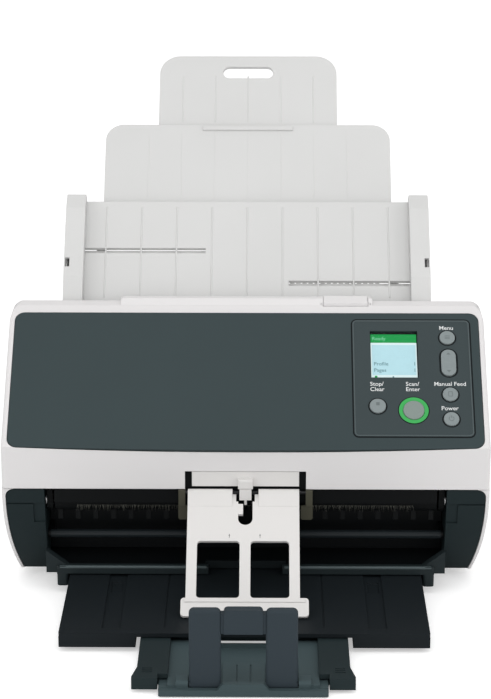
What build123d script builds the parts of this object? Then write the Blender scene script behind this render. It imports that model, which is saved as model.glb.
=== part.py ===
from build123d import *
import math
import os

# Desktop sheet-fed document scanner with a swing-forward feeder cover, a pull-out
# stacker at the front and a leaning paper chute at the back.
# Millimetres. X runs to the right, Y to the back, Z up. The front face of the
# white band is at Y = 0 and the table is at Z = 0 until the parts are written.

# Body as a whole
body_width = 300.0
body_depth = 170.0
rim_height = 163.0
shell_wall = 2.5
side_wall = 3.5
fit_gap = 0.3
running_gap = 0.05
foot_height = 5.0
base_narrowing = 8.0
narrowing_start = 62.0
top_corner_radius = 10.0

# Feeder cover, seen from the side
band_bottom = 68.0
band_height = 27.0
panel_foot_y = 0.6
panel_angle = 40.8
panel_length = 97.0
rim_back_y = 88.0
parting_back_y = 93.5
parting_back_z = 154.0
parting_gap = 0.8
raised_rim_half = 80.0
raised_rim_height = 2.3
rim_lead = 6.0
rim_slope = 0.55
rim_radius = 2.5
rim_rise_y = 79.5
rim_rise_z = 161.0
edge_radius = 2.0
mouth_start = 14.0
mouth_height = 8.8
strip_front_y = 2.6
strip_thickness = 1.4
strip_bottom_z = 58.0
strip_top_z = 80.0
wall_thickness = 2.6
wall_back_down = 16.0
flange_height = 2.6
flange_back_y = 84.0

# Paper path, a flat plane that leans back
path_angle = 47.0
path_top_y = 93.0
path_top_z = 152.0
path_side_gap = 6.0
guide_gap = 1.2
guide_thickness = 2.2
base_guide_drop = 0.6
base_guide_top = 1.5

# Cover hinge
hinge_y = 14.0
hinge_z = 56.0
hinge_pin_radius = 4.0
hinge_arm_radius = 7.0
hinge_arm_thickness = 3.6
hinge_arm_gap = 1.0
hinge_pin_head = 1.5
arm_front_y = 5.0
arm_back_y = 34.0
exit_lip_wall = 2.4
lip_end_angle = 235.0

# Side frames
cheek_depth = 26.0
frame_wall = 3.0
shell_curl_lap = 2.0
toe_y = 24.0
front_bulge = 5.5
cheek_groove = 0.9
cheek_edge = 2.0
cheek_zone_back = 32.0
cheek_corner_radius = 5.0
cheek_corner_depth = 2.0
cheek_tab_width = 7.0
cheek_tab_bottom = 44.0
cheek_seam_z = 57.0

# Front panel and its controls, measured down the slope from the panel's top edge
panel_margin = 3.8
panel_corner_radius = 6.3
panel_bow = 2.0
panel_thickness = 2.5
panel_rise = 0.4
panel_fit = 0.35
panel_recess = 2.2
ledge_thickness = 2.2
panel_ledge = 6.0
control_margin = 5.9
control_width = 73.6
control_top = 5.4
control_bottom = 89.2
control_corner_radius = 3.0
control_thickness = 1.6
control_rise = 0.7
control_fit = 0.5
lcd_inset = 11.1
lcd_width = 29.7
lcd_top = 13.3
lcd_bottom = 47.3
lcd_glass_thickness = 0.8
lcd_recess = 1.2
button_gap = 0.3
button_rise = 1.0
button_travel = 0.8
button_flange = 1.3
button_flange_thickness = 1.1
rocker_inset = 13.9
rocker_down = 36.8
rocker_width = 9.3
rocker_length = 18.9
rocker_pin_radius = 0.9
rocker_pin_depth = 3.6
scan_ring_radius = 9.15
ring_button_gap = 0.35
switch_board_depth = 6.4
switch_board_thickness = 1.6
switch_gap = 0.45
rocker_switch_height = 0.55
rocker_gap = 0.5
rocker_boss = 2.4
rocker_dip_radius = 16.0
ring_flange_thickness = 1.0
lcd_margin = 3.0
board_posts = [(3.8, 12.5), (68.8, 12.5), (3.8, 84.5), (48.3, 84.5)]

# Each round button: across from the control plate's left edge, down the panel, diameter
round_buttons = {
    "menu_button": (59.5, 18.5, 9.7),
    "manual_feed_button": (59.9, 59.6, 9.6),
    "power_button": (59.9, 77.1, 9.6),
    "stop_button": (14.8, 68.0, 10.1),
    "scan_button": (36.9, 70.9, 13.1),
}

# Cover lever in the rim
lever_left = 49.0
lever_right = 77.0
lever_front_y = 80.0
lever_back_y = 91.5
lever_bottom_z = 160.6
lever_front_top_z = 163.2
lever_axis_y = 81.6
lever_axis_z = 162.0
lever_rise = 0.6
lever_swing_room = 0.6
lever_pin_radius = 0.8
lever_pin_reach = 1.6

# Notch in the band with the tab, its nub and the guide plate under it
notch_half_width = 37.2
notch_height = 11.7
tab_half_width = 32.9
tab_drop = 1.8
tab_depth = 0.4
nub_half_width = 4.6
nub_lower_half_width = 3.7
nub_reach = 3.4
nub_tip_z = 62.0
nub_step_z = 69.0
nub_top_drop = 4.2
nub_pin_radius = 0.9
nub_pin_length = 3.2
guide_axis_y = 0.2
guide_axis_z = 65.8
guide_rod_radius = 1.1
guide_barrel_radius = 2.2
guide_length = 86.0
guide_angle = 36.8
guide_plate_thickness = 2.0
guide_left = 35.4
guide_right = 33.0
guide_foot_half = 38.2
window_start = 34.4
window_end = 73.5
window_outer_inset = 6.3
divider_half_width = 3.3
keyhole_half_width = 4.4
keyhole_end = 23.0
keyhole_wide = 6.4
keyhole_wide_half = 5.7
keyhole_hook_x = 1.4
keyhole_hook_start = 8.1
keyhole_hook_end = 15.5
knuckle_start = 8.0
bracket_width = 4.2

# Rollers: distance down the path, drive roller radius, facing roller radius
pick_down = 25.0
feed_down = 55.0
exit_down = 107.0
pick_radius = 9.0
feed_radius = 7.0
exit_radius = 6.0
brake_radius = 6.5
feed_idler_radius = 5.0
exit_idler_radius = 4.5
nip_gap = 0.3
drive_shaft_radius = 3.0
idler_shaft_radius = 2.0
tyre_width = 14.0
pulley_share = 2 / 3
pulley_flange = 1.8
pulley_width = 7.0
pulley_side_gap = 9.5
idler_overhang = 0.6
motor_bore = 9.0
pick_places = [11.0]
feed_places = [20.0, 72.0]
exit_places = [25.0, 88.0]
belt_thickness = 1.2
motor_pulley_radius = 3.5
motor_y = 84.0
motor_z = 58.0
motor_radius = 16.0
motor_length = 34.0
motor_shaft_radius = 1.5

# Image sensors and their glass strips
glass_down = 79.0
glass_margin = 6.0
glass_width = 11.0
glass_thickness = 2.0
sensor_overlap = 3.0
sensor_width = 24.0
sensor_base_depth = 16.0
sensor_cover_depth = 11.0

# Exit bay and the lip over the stacker
bay_floor_z = 13.0
floor_thickness = 2.0
bay_back_y = 36.0
bay_back_top = 46.0
lip_side_gap = 7.0
lip_front_y = -4.0
lip_top = 18.0
lip_cut_half = 23.0
lip_cut_depth = 9.0
leg_width = 7.0
lip_depth = 6.0
lip_round = 2.0
ledge_top = 27.0
comb_y = 9.0
comb_bottom = 44.5
bay_end_gap = 1.5
rail_front_y = 3.5
bar_radius = 2.6
bar_y = 18.0
bar_z = 31.0
comb_teeth = 22
comb_tooth_width = 3.0

# Stacker: tray, extension, carriage and stopper
tray_side_gap = 15.0
tray_front_y = -88.0
tray_length = 122.0
tray_top = 12.0
tray_plate = 2.4
tray_bottom = 3.0
tray_gap_half = 63.8
tray_travel = 64.0
tongue_reach = 2.2
tongue_bottom = 6.5
tongue_top = 8.8
running_slack = 0.4
shelf_reach = 1.8
shelf_start_y = -72.0
shelf_top = 4.6
groove_x = 46.9
groove_depth = 0.5
channel_inner = 73.0
channel_outer = 84.0
channel_depth = 1.0
pocket_front_y = -28.0
extension_half_width = 60.8
extension_flare = 2.6
flare_length = 15.0
notch_length = 6.4
wing_thickness = 3.0
cross_length = 32.0
extension_front_y = -141.0
extension_length = 96.0
extension_top = 9.0
extension_bottom = 2.2
wing_inner_half = 43.0
carriage_half_width = 48.0
carriage_front_y = -147.0
carriage_length = 62.0
carriage_top = 8.4
carriage_bottom = 0.7
carriage_floor_top = 2.3
flange_low = 3.0
flange_high = 5.0
rim_depth = 3.6
rim_top_z = 4.6
pad_top = 6.4
cheek_width = 7.0
cheek_reach = 6.0
mid_top = 3.8
fold_gap = 0.8
stopper_axis_y = -140.0
stopper_axis_z = 5.6
stopper_height = 46.2
stopper_thickness = 6.0
post_inner_half = 12.6
post_outer_half = 30.6
crossbar_height = 14.6
stopper_pin_radius = 1.4
stopper_pin_half = 34.6
lobe_gap = 1.6
lobe_drop = 2.6

# Paper chute
chute_side_gap = 31.4
chute_narrowing = 1.4
chute_step = 40.0
chute_start = -0.9
chute_length = 82.0
rail_wall = 3.0
rail_start = 14.0
hook_inset = 30.6
hook_width = 10.0
hook_reach = 8.0
hook_drop = 5.6
chute_thickness = 3.0
side_guide_width = 12.6
side_guide_inset = 0.5
side_guide_bottom = 6.0
side_guide_top = 84.0
side_guide_height = 10.0
closest_half_gap = 27.5
side_guide_out = 2.5
rack_module = 1.25
pinion_teeth = 14
pinion_up = 34.0
rack_thickness = 2.2
rack_bar = 3.0
rack_end = 12.0
rack_back_inset = 4.1
rack_bare = 26.0
pressure_angle = 20.0
rack_tip_height = 1.0
rack_root_depth = 1.56
pinion_root_depth = 1.35
pinion_bore = 2.0
neck_inset = 5.1
neck_width = 7.0
fence_gap = 0.4
fence_wall = 2.0
tooth_backlash = 0.25
extension_1_half = 95.0
extension_1_start = 60.0
extension_1_length = 84.0
extension_2_half = 60.0
extension_2_start = 126.0
extension_2_length = 74.0
chute_slide_thickness = 2.6

# Back of the base
rear_top_y = 100.0
rear_top_z = 147.0
rear_shoulder_z = 62.0
rear_wall = 2.5
rear_bulge = 18.0
heel_radius = 10.0
rear_seam_y = 96.5
rear_seam_z = 120.0
rear_seam_low_z = 40.0
rear_foot_inset = 11.7
vent_margin = 38.0
vent_middle_z = 42.0
vent_height = 26.0
vent_count = 14
vent_pitch = 7.0
vent_width = 3.0
board_overhang = 14.0
board_width = 100.0
board_height = 68.0
board_gap = 19.0
board_thickness = 1.6
dc_margin = 58.0
socket_z = 42.0
socket_depth = 11.0
dc_hole_radius = 2.8
dc_size = 14.0
socket_pitch = 26.0
usb_width = 13.0
usb_height = 11.5
board_chips = [(14, 12, 16, 16), (42, 10, 12, 12), (40, 40, 20, 9), (76, 44, 18, 12)]
board_cans = [12, 24, 68]
lock_slot_inset = 18.0
lock_slot_z = 30.0
lock_slot_length = 7.0
lock_slot_height = 3.0
foot_peg = 3.0
foot_radius = 6.2
foot_side_gap = 6.8
front_foot_y = 38.0
back_foot_inset = 22.0


def slab(x0, x1, y0, y1, z0, z1):
    middle = Pos((x0 + x1) / 2, (y0 + y1) / 2, (z0 + z1) / 2)
    return middle * Box(x1 - x0, y1 - y0, z1 - z0)


def along_x(outline, x0, x1):
    """An outline drawn in Y and Z, drawn out along X."""
    return extrude(Plane.YZ.offset(x0) * outline, x1 - x0)


def polygon(*points):
    return make_face(Polyline(*points, close=True))


def rod(radius, x0, x1, y, z):
    """A round bar along X."""
    return Pos((x0 + x1) / 2, y, z) * Rot(0, 90, 0) * Cylinder(radius, x1 - x0)


def mirrored(part):
    return mirror(part, about=Plane.YZ)


def both_sides(part):
    return part + mirrored(part)


def from_hinge(radius, degrees):
    """A point in Y and Z at an angle round the cover hinge."""
    angle = math.radians(degrees)
    return (hinge_y + radius * math.cos(angle), hinge_z + radius * math.sin(angle))


# Places worked out from the sizes above
band_top = band_bottom + band_height
panel_run = math.cos(math.radians(panel_angle))
panel_lift = math.sin(math.radians(panel_angle))
panel_top_y = panel_foot_y + panel_length * panel_run
panel_top_z = band_top + panel_length * panel_lift
panel_plane = Plane(
    origin=(0, panel_top_y, panel_top_z),
    x_dir=(1, 0, 0),
    z_dir=(0, -panel_lift, panel_run),
)
path_run = math.cos(math.radians(path_angle))
path_lift = math.sin(math.radians(path_angle))
path_plane = Plane(
    origin=(0, path_top_y, path_top_z), x_dir=(1, 0, 0), z_dir=(0, -path_lift, path_run)
)
parting_slope = (parting_back_z - band_bottom) / parting_back_y
parting_angle = math.degrees(math.atan(parting_slope))
parting_drop = parting_gap / math.cos(math.radians(parting_angle))
half_width = body_width / 2
inner_half = half_width - side_wall
frame_inner_half = half_width - cheek_depth
shell_curl_half = frame_inner_half + shell_curl_lap
cheek_tab_half = frame_inner_half + cheek_tab_width
path_half_width = frame_inner_half - path_side_gap
glass_half_length = path_half_width - glass_margin
sensor_half_length = glass_half_length + sensor_overlap
lip_half_width = frame_inner_half - lip_side_gap
tray_half_width = frame_inner_half - tray_side_gap
foot_x = frame_inner_half - foot_side_gap
bay_end_y = tray_front_y + tray_length + tray_travel + bay_end_gap
mid_back_y = stopper_axis_y + stopper_height - crossbar_height - fold_gap
pulley_outer_x = half_width - pulley_side_gap
panel_half_width = half_width - panel_margin
control_right = panel_half_width - control_margin
control_left = control_right - control_width
lcd_left = control_left + lcd_inset
lcd_right = lcd_left + lcd_width
rocker_x = control_right - rocker_inset
button_back = panel_thickness - panel_rise + running_gap + button_flange_thickness
switch_height = switch_board_depth - button_back - button_travel - switch_gap
chute_half_width = half_width - chute_side_gap
chute_upper_half = chute_half_width - chute_narrowing
hook_x = chute_half_width - hook_inset
side_guide_outer = chute_half_width - side_guide_inset
side_guide_inner = side_guide_outer - side_guide_width
side_guide_in = side_guide_inner - closest_half_gap
rack_back = side_guide_outer - rack_back_inset
neck_outer = side_guide_outer - neck_inset
neck_inner = neck_outer - neck_width
rear_foot_y = body_depth - rear_foot_inset
back_foot_y = body_depth - back_foot_inset
lock_slot_y = body_depth - lock_slot_inset
vent_left = vent_margin - half_width
board_y = body_depth - board_gap
dc_x = half_width - dc_margin
usb_x = dc_x - socket_pitch
board_left = dc_x + board_overhang - board_width
guide_run = math.cos(math.radians(guide_angle))
guide_fall = math.sin(math.radians(guide_angle))
guide_plane = Plane(
    origin=(0, guide_axis_y, guide_axis_z),
    x_dir=(1, 0, 0),
    z_dir=(0, -guide_fall, guide_run),
)
guide_axis = Axis((0, 0, 0), (0, -guide_fall, guide_run))
path_axis = Axis((0, 0, 0), (0, -path_lift, path_run))


def on_path(down, height):
    """Y and Z of a point that far down the paper path and that high above it."""
    y = path_top_y - down * path_run - height * path_lift
    z = path_top_z - down * path_lift + height * path_run
    return (y, z)


def on_panel(across, down, height):
    return panel_plane * Pos(across, -down, height)


def parting_z(y):
    return band_bottom + y * parting_slope


pick_axis = on_path(pick_down, -pick_radius)
feed_axis = on_path(feed_down, -feed_radius)
exit_axis = on_path(exit_down, -exit_radius)
brake_axis = on_path(pick_down, brake_radius + nip_gap)
feed_idler_axis = on_path(feed_down, feed_idler_radius + nip_gap)
exit_idler_axis = on_path(exit_down, exit_idler_radius + nip_gap)
exit_tangent_down = (path_top_y - hinge_y) * path_run + (path_top_z - hinge_z) * path_lift
hinge_below_path = (path_top_z - hinge_z) * path_run - (path_top_y - hinge_y) * path_lift
exit_lip_radius = hinge_below_path - base_guide_drop
rack_pitch_radius = rack_module * pinion_teeth / 2
base_circle = rack_pitch_radius * math.cos(math.radians(pressure_angle))
tooth_width = (math.pi * rack_module - tooth_backlash) / 2
rack_bottom = -chute_thickness - fit_gap - rack_thickness
slide_1_top = rack_bottom - fit_gap
slide_2_top = slide_1_top - chute_slide_thickness - running_slack
rack_back_level = pinion_up + rack_pitch_radius + rack_root_depth + rack_bar
level_low = 2 * pinion_up - rack_back_level


# Outlines shared by several pieces
def base_outline(inset):
    """Side view of the lower body, up to the parting line, drawn in by the inset."""
    front = (panel_foot_y, parting_z(panel_foot_y) - parting_drop)
    back = (parting_back_y, parting_back_z - parting_drop)
    shoulder = (rear_top_y, rear_top_z)
    low_back = (body_depth, rear_shoulder_z)
    heel = (body_depth, foot_height)
    toe = (toe_y, foot_height)
    edges = Line(front, back) + Line(back, shoulder)
    edges += SagittaArc(shoulder, low_back, rear_bulge)
    edges += Line(low_back, heel) + Line(heel, toe)
    edges += SagittaArc(toe, front, front_bulge)
    face = make_face(edges)
    heel_corner = face.vertices().sort_by_distance((*heel, 0))[0]
    face = fillet(heel_corner, heel_radius)
    if inset:
        face = offset(face, amount=-inset, kind=Kind.INTERSECTION)
    return face


def front_outline(inset, lift):
    """Front view of the whole body: rounded top corners, sides drawn in at the foot."""
    half = half_width - inset
    foot = foot_height + lift
    top = rim_height
    start = (half, narrowing_start)
    end = (half - base_narrowing, foot)
    right = TangentArc(start, end, tangent=(0, -1))
    left = mirror(right, about=Plane.YZ)
    edges = Line((half, top), start) + right + Line(end, (-end[0], foot)) + left
    edges += Line((-half, narrowing_start), (-half, top)) + Line((-half, top), (half, top))
    face = make_face(edges)
    corners = face.vertices().group_by(Axis.Y)[-1]
    return fillet(corners, top_corner_radius)


def front_prism(inset, lift):
    return extrude(Plane.XZ * front_outline(inset, lift), 2 * body_depth, both=True)


def rear_zone():
    """The part of the side view where the rear cover wraps round the base."""
    return polygon(
        (rear_seam_y, 2 * rim_height),
        (rear_seam_y, rear_seam_z),
        (rear_foot_y, rear_seam_low_z),
        (rear_foot_y, 0),
        (body_depth + side_wall, 0),
        (body_depth + side_wall, 2 * rim_height),
    )


# Lower body
def cheek_zone(gap):
    """Room at the front where the dark cheek reaches close under the shell's thin edge."""
    behind = slab(0, half_width, -side_wall, cheek_zone_back - gap, 0, rim_height)
    return front_prism(cheek_edge + gap, gap - 1) & behind


def cheek_corner(gap):
    """White corner over the cheek, with a rounded inner edge."""
    x = half_width - cheek_edge - cheek_corner_radius
    z = parting_z(panel_foot_y) - parting_drop - cheek_corner_radius
    corner = slab(x, half_width - cheek_edge / 2, -side_wall, cheek_corner_depth + gap,
                  z, z + 2 * cheek_corner_radius)
    return corner - Pos(x, 0, z) * Rot(90, 0, 0) * Cylinder(cheek_corner_radius - gap, body_depth)


def plain_shell():
    """One side shell without its lock slot."""
    profile = along_x(base_outline(0), shell_curl_half, half_width)
    shell = profile & front_prism(0, 0)
    shell -= front_prism(side_wall, side_wall) + cheek_zone(0)
    return shell + (profile & cheek_corner(0))


def side_shell_right():
    """White outer skin of one side, curled in under the body."""
    shell = plain_shell()
    slot = slab(
        half_width - 2 * side_wall, half_width + 1,
        lock_slot_y - lock_slot_length / 2, lock_slot_y + lock_slot_length / 2,
        lock_slot_z - lock_slot_height / 2, lock_slot_z + lock_slot_height / 2,
    )
    return shell - slot


def side_shell_left():
    return mirrored(plain_shell())


def frame_outline(wall):
    """Side view of a side frame, kept clear of the rear cover and drawn in by a wall."""
    full = base_outline(fit_gap + 0.1 + wall)
    behind = base_outline(rear_wall + 2 * fit_gap + wall)
    return full - (Pos(-2 * wall, 0) * rear_zone() & (full - behind))


def side_frame():
    """Dished frame with its solid cheek showing at the front."""
    block = along_x(frame_outline(0), frame_inner_half, half_width)
    block &= front_prism(side_wall + fit_gap, side_wall + fit_gap) + cheek_zone(fit_gap)
    block -= cheek_corner(fit_gap)
    frame = block - along_x(frame_outline(frame_wall), frame_inner_half + frame_wall, half_width)
    skin = base_outline(0) - base_outline(fit_gap + 0.1 + cheek_groove)
    tab = along_x(skin, frame_inner_half, cheek_tab_half)
    tab &= slab(0, half_width, -side_wall, toe_y, cheek_tab_bottom, cheek_seam_z)
    seam = along_x(skin, frame_inner_half, half_width)
    seam &= slab(0, half_width, -side_wall, toe_y, cheek_seam_z, cheek_seam_z + cheek_groove)
    return frame - tab - seam


def shaft_holes(radius, points, x0, x1):
    holes = [rod(radius, x0, x1, y, z) for y, z in points]
    return Part() + holes


def side_frame_right():
    x0 = frame_inner_half - 1
    x1 = frame_inner_half + frame_wall + 1
    drives = [pick_axis, feed_axis, exit_axis]
    frame = side_frame() - shaft_holes(drive_shaft_radius + running_gap, drives, x0, x1)
    return frame - rod(hinge_pin_radius + running_gap, x0, x1, hinge_y, hinge_z)


def side_frame_left():
    x0 = frame_inner_half - 1
    x1 = frame_inner_half + frame_wall + 1
    drives = [pick_axis, feed_axis, exit_axis]
    frame = side_frame() - shaft_holes(drive_shaft_radius + running_gap, drives, x0, x1)
    frame -= rod(hinge_pin_radius + running_gap, x0, x1, hinge_y, hinge_z)
    frame -= rod(motor_shaft_radius + 1, x0, x1, motor_y, motor_z)
    return mirrored(frame)


def hinge_pin():
    """Headed pin from inside the side frame into the cover's arm."""
    start = frame_inner_half - hinge_arm_gap - hinge_arm_thickness
    head = frame_inner_half + frame_wall
    pin = rod(hinge_pin_radius, start, head + hinge_pin_head, hinge_y, hinge_z)
    cap = rod(hinge_pin_radius + 2, head + running_gap, head + hinge_pin_head, hinge_y, hinge_z)
    return pin + cap


def rear_cover():
    """Back skin between the side shells, with vents and socket openings."""
    strip = (base_outline(fit_gap) - base_outline(fit_gap + rear_wall)) & rear_zone()
    half = inner_half - fit_gap
    curl = shell_curl_half - fit_gap
    room = front_prism(side_wall + fit_gap, side_wall + fit_gap)
    room += slab(-curl, curl, 0, 2 * body_depth, 0, vent_middle_z)
    cover = along_x(strip, -half, half) & room
    vents = [
        Pos(vent_left + i * vent_pitch, body_depth, vent_middle_z)
        * Box(vent_width, 4 * rear_wall, vent_height)
        for i in range(vent_count)
    ]
    cover -= vents
    cover -= Pos(dc_x, body_depth, socket_z) * Box(dc_size + fit_gap, 4 * rear_wall, dc_size + fit_gap)
    cover -= Pos(usb_x, body_depth, socket_z) * Box(
        usb_width + fit_gap, 4 * rear_wall, usb_height + fit_gap
    )
    hooks = slab(hook_x - fit_gap, hook_x + hook_width + fit_gap, -hook_reach, hook_reach,
                 -2 * hook_drop, 0)
    return cover - path_plane * both_sides(hooks)


def base_pan():
    """Floor over the stacker bay, its two slotted rails and the low floor behind."""
    half = frame_inner_half - fit_gap
    rail_inner = tray_half_width + running_slack
    top = slab(-half, half, bay_back_y + fit_gap, bay_end_y + floor_thickness,
               bay_floor_z, bay_floor_z + floor_thickness)
    rail = slab(rail_inner, half, rail_front_y, rear_foot_y, foot_height, bay_floor_z)
    rail -= slab(lip_half_width, half + 1, rail_front_y - 1, toe_y, 0, bay_floor_z + 1)
    groove = slab(rail_inner - 1, tray_half_width + tongue_reach + running_slack,
                  rail_front_y - 1, bay_end_y, tongue_bottom - fit_gap, tongue_top + fit_gap)
    wall = slab(-rail_inner, rail_inner, bay_end_y, bay_end_y + floor_thickness,
                foot_height, bay_floor_z)
    low = slab(-rail_inner, rail_inner, bay_end_y, rear_foot_y,
               foot_height, foot_height + floor_thickness)
    pan = top + both_sides(rail - groove) + wall + low
    sockets = [
        Pos(side * foot_x, y, foot_height + foot_peg / 2)
        * Cylinder(foot_radius / 2 + running_gap, foot_peg)
        for side in (-1, 1)
        for y in (front_foot_y, back_foot_y)
    ]
    return pan - sockets


def rubber_feet():
    feet = []
    for side in (-1, 1):
        for y in (front_foot_y, back_foot_y):
            pad = Pos(side * foot_x, y, foot_height / 2) * Cylinder(foot_radius, foot_height)
            pad = chamfer(pad.edges().group_by(Axis.Z)[0], 0.6)
            peg = Pos(side * foot_x, y, foot_height + foot_peg / 2 - running_gap)
            feet.append(pad + peg * Cylinder(foot_radius / 2, foot_peg - 2 * running_gap))
    return Part() + feet


def exit_frame():
    """Floor, lip, legs, back wall and cross bar of the paper bay."""
    half = frame_inner_half - fit_gap
    top = bay_floor_z + floor_thickness
    floor = slab(-half, half, lip_front_y + lip_round, bay_back_y, bay_floor_z, top)
    floor += slab(-lip_half_width, lip_half_width, lip_front_y, rail_front_y - fit_gap, bay_floor_z, top)
    lip = slab(-lip_half_width, lip_half_width, lip_front_y, lip_front_y + lip_depth,
               bay_floor_z, lip_top)
    lip = fillet(lip.edges().filter_by(Axis.X).group_by(Axis.Z)[-1], lip_round)
    cut = slab(-lip_cut_half, lip_cut_half, lip_front_y - 1, lip_front_y + lip_cut_depth,
               0, lip_top + 1)
    rim = slab(-lip_cut_half - 2, lip_cut_half + 2, lip_front_y + lip_cut_depth,
               lip_front_y + lip_cut_depth + 2, bay_floor_z, lip_top)
    leg = slab(lip_half_width - leg_width, lip_half_width, lip_front_y, rail_front_y - fit_gap,
               foot_height, lip_top)
    leg = fillet(leg.edges().filter_by(Axis.Z).group_by(Axis.Y)[0], lip_round)
    ledge = extrude(
        Plane.XZ.offset(-lip_front_y - 2 - lip_depth)
        * polygon((lip_half_width - 6, lip_top), (half - 1, ledge_top),
                  (half, ledge_top), (half, bay_floor_z), (lip_half_width - 6, bay_floor_z)),
        lip_depth,
    )
    wall = slab(-half, half, bay_back_y - floor_thickness, bay_back_y, bay_floor_z, bay_back_top)
    bar = rod(bar_radius, -half, half, bar_y, bar_z)
    web = slab(-half, -half + 2.4, bar_y, bay_back_y, bar_z - bar_radius, bar_z + bar_radius)
    frame = floor + lip - cut + rim + both_sides(leg) + both_sides(ledge) + wall + bar
    return frame + both_sides(mirrored(web))


# Paper path in the base
def tyre_places(pair_centres):
    return [side * x for x in pair_centres for side in (-1, 1)]


def path_windows(down, centres, width, length, h0, h1):
    """Cuts through a sheet guide for the tyres of one shaft."""
    return [
        path_plane * slab(x - width / 2, x + width / 2, -down - length / 2, -down + length / 2, h0, h1)
        for x in tyre_places(centres)
    ]


def base_sheet_guide():
    """Lower face of the paper path, ending in the rounded exit lip and its comb."""
    low = -base_guide_drop - guide_thickness
    end = exit_tangent_down
    plate = path_plane * slab(-path_half_width, path_half_width, -end, -base_guide_top,
                              low, -base_guide_drop)
    r0 = exit_lip_radius - exit_lip_wall
    r1 = exit_lip_radius
    a0 = 90 + path_angle
    a1 = lip_end_angle
    mid = (a0 + a1) / 2
    outer = ThreePointArc(from_hinge(r1, a0), from_hinge(r1, mid), from_hinge(r1, a1))
    inner = ThreePointArc(from_hinge(r0, a1), from_hinge(r0, mid), from_hinge(r0, a0))
    ring = make_face(outer + Line(outer @ 1, inner @ 0) + inner + Line(inner @ 1, outer @ 0))
    lip = along_x(ring, -path_half_width, path_half_width)
    back = (bay_back_y, bay_back_top)
    apron = polygon(outer @ 1, back, (back[0], back[1] + floor_thickness), inner @ 0)
    lip += along_x(apron, -path_half_width, path_half_width)
    root = from_hinge(r1 - 1, a1 - 12)
    tooth = polygon(root, (comb_y, comb_bottom), (comb_y + 3, comb_bottom),
                    (comb_y + 5, hinge_z - r0))
    pitch = 2 * (path_half_width - comb_tooth_width) / (comb_teeth - 1)
    start = -path_half_width + comb_tooth_width / 2
    comb = [
        along_x(tooth, start + i * pitch, start + i * pitch + comb_tooth_width)
        for i in range(comb_teeth)
    ]
    guide = plate + lip + comb
    h0 = low - 1
    guide -= path_windows(pick_down, pick_places, tyre_width + 2, 2 * pick_radius + 1, h0, 1)
    guide -= path_windows(feed_down, feed_places, tyre_width + 2, 2 * feed_radius + 1, h0, 1)
    guide -= path_windows(exit_down, exit_places, tyre_width + 2, 2 * exit_radius + 1, h0, 1)
    glass = path_plane * slab(
        -glass_half_length - 0.1, glass_half_length + 0.1,
        -glass_down - glass_width / 2 - 0.1, -glass_down + glass_width / 2 + 0.1, h0, 1,
    )
    return guide - glass


def glass_strip(h0):
    return path_plane * slab(
        -glass_half_length, glass_half_length,
        -glass_down - glass_width / 2, -glass_down + glass_width / 2, h0, h0 + glass_thickness,
    )


def base_scan_glass():
    return glass_strip(-base_guide_drop - guide_thickness)


def sensor_box(h0, h1):
    body = path_plane * slab(-sensor_half_length, sensor_half_length,
                             -glass_down - sensor_width / 2, -glass_down + sensor_width / 2, h0, h1)
    return body


def base_image_sensor():
    top = -base_guide_drop - guide_thickness - running_gap
    body = sensor_box(top - sensor_base_depth, top)
    slot = path_plane * slab(-glass_half_length + 4, glass_half_length - 4,
                             -glass_down - 3, -glass_down + 3, top - 4, top + 1)
    return body - slot


# Rollers
def shaft(radius, axis, x0, x1):
    return rod(radius, x0, x1, *axis)


def pulley(axis, seat):
    """Flanged belt pulley on the left end of a drive shaft."""
    outer = -pulley_outer_x
    wide = rod(seat, outer, outer + pulley_width + 2, *axis)
    for x in (outer, outer + pulley_width + 1):
        wide += rod(seat + pulley_flange, x, x + 1, *axis)
    return wide


def drive_shaft(axis, tyre_radius):
    bar = shaft(drive_shaft_radius, axis, -pulley_outer_x, frame_inner_half + frame_wall + 1)
    return bar + pulley(axis, tyre_radius * pulley_share)


def tyres(axis, radius, bore, centres):
    """Rubber tyres pressed on a shaft."""
    rings = [
        rod(radius, x - tyre_width / 2, x + tyre_width / 2, *axis)
        - rod(bore, x - tyre_width, x + tyre_width, *axis)
        for x in tyre_places(centres)
    ]
    return Part() + rings


def idler(axis, radius, centres):
    """Shaft and its moulded rollers in one piece, held by the cover's side walls."""
    end = path_half_width + idler_overhang
    bar = shaft(idler_shaft_radius, axis, -end, end)
    for x in tyre_places(centres):
        bar += rod(radius, x - tyre_width / 2, x + tyre_width / 2, *axis)
    return bar


def motor_pulley():
    axis = (motor_y, motor_z)
    wheel = pulley(axis, motor_pulley_radius)
    return wheel + rod(motor_shaft_radius, -pulley_outer_x, -frame_inner_half + motor_bore, *axis)


def drive_motor():
    x0 = -frame_inner_half + fit_gap
    can = rod(motor_radius, x0, x0 + motor_length, motor_y, motor_z)
    ends = can.edges().filter_by(GeomType.CIRCLE)
    can = fillet(ends, 2)
    boss = rod(motor_radius / 3, x0 + motor_length, x0 + motor_length + 3, motor_y, motor_z)
    bore = rod(motor_shaft_radius + running_gap, x0 - 1, -frame_inner_half + motor_bore + fit_gap,
               motor_y, motor_z)
    return can + boss - bore


def drive_belt():
    """Flat belt round the motor pulley and the three shaft pulleys."""
    seats = [(pick_axis, pick_radius * pulley_share), (feed_axis, feed_radius * pulley_share),
             (exit_axis, exit_radius * pulley_share), ((motor_y, motor_z), motor_pulley_radius)]

    def loop(extra):
        circles = Sketch() + [Pos(*axis) * Circle(seat + extra) for axis, seat in seats]
        return make_hull(circles.edges())

    band = loop(fit_gap + belt_thickness) - loop(fit_gap)
    x0 = -pulley_outer_x + 1 + fit_gap
    return along_x(band, x0, x0 + pulley_width - 2 * fit_gap)


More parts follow.
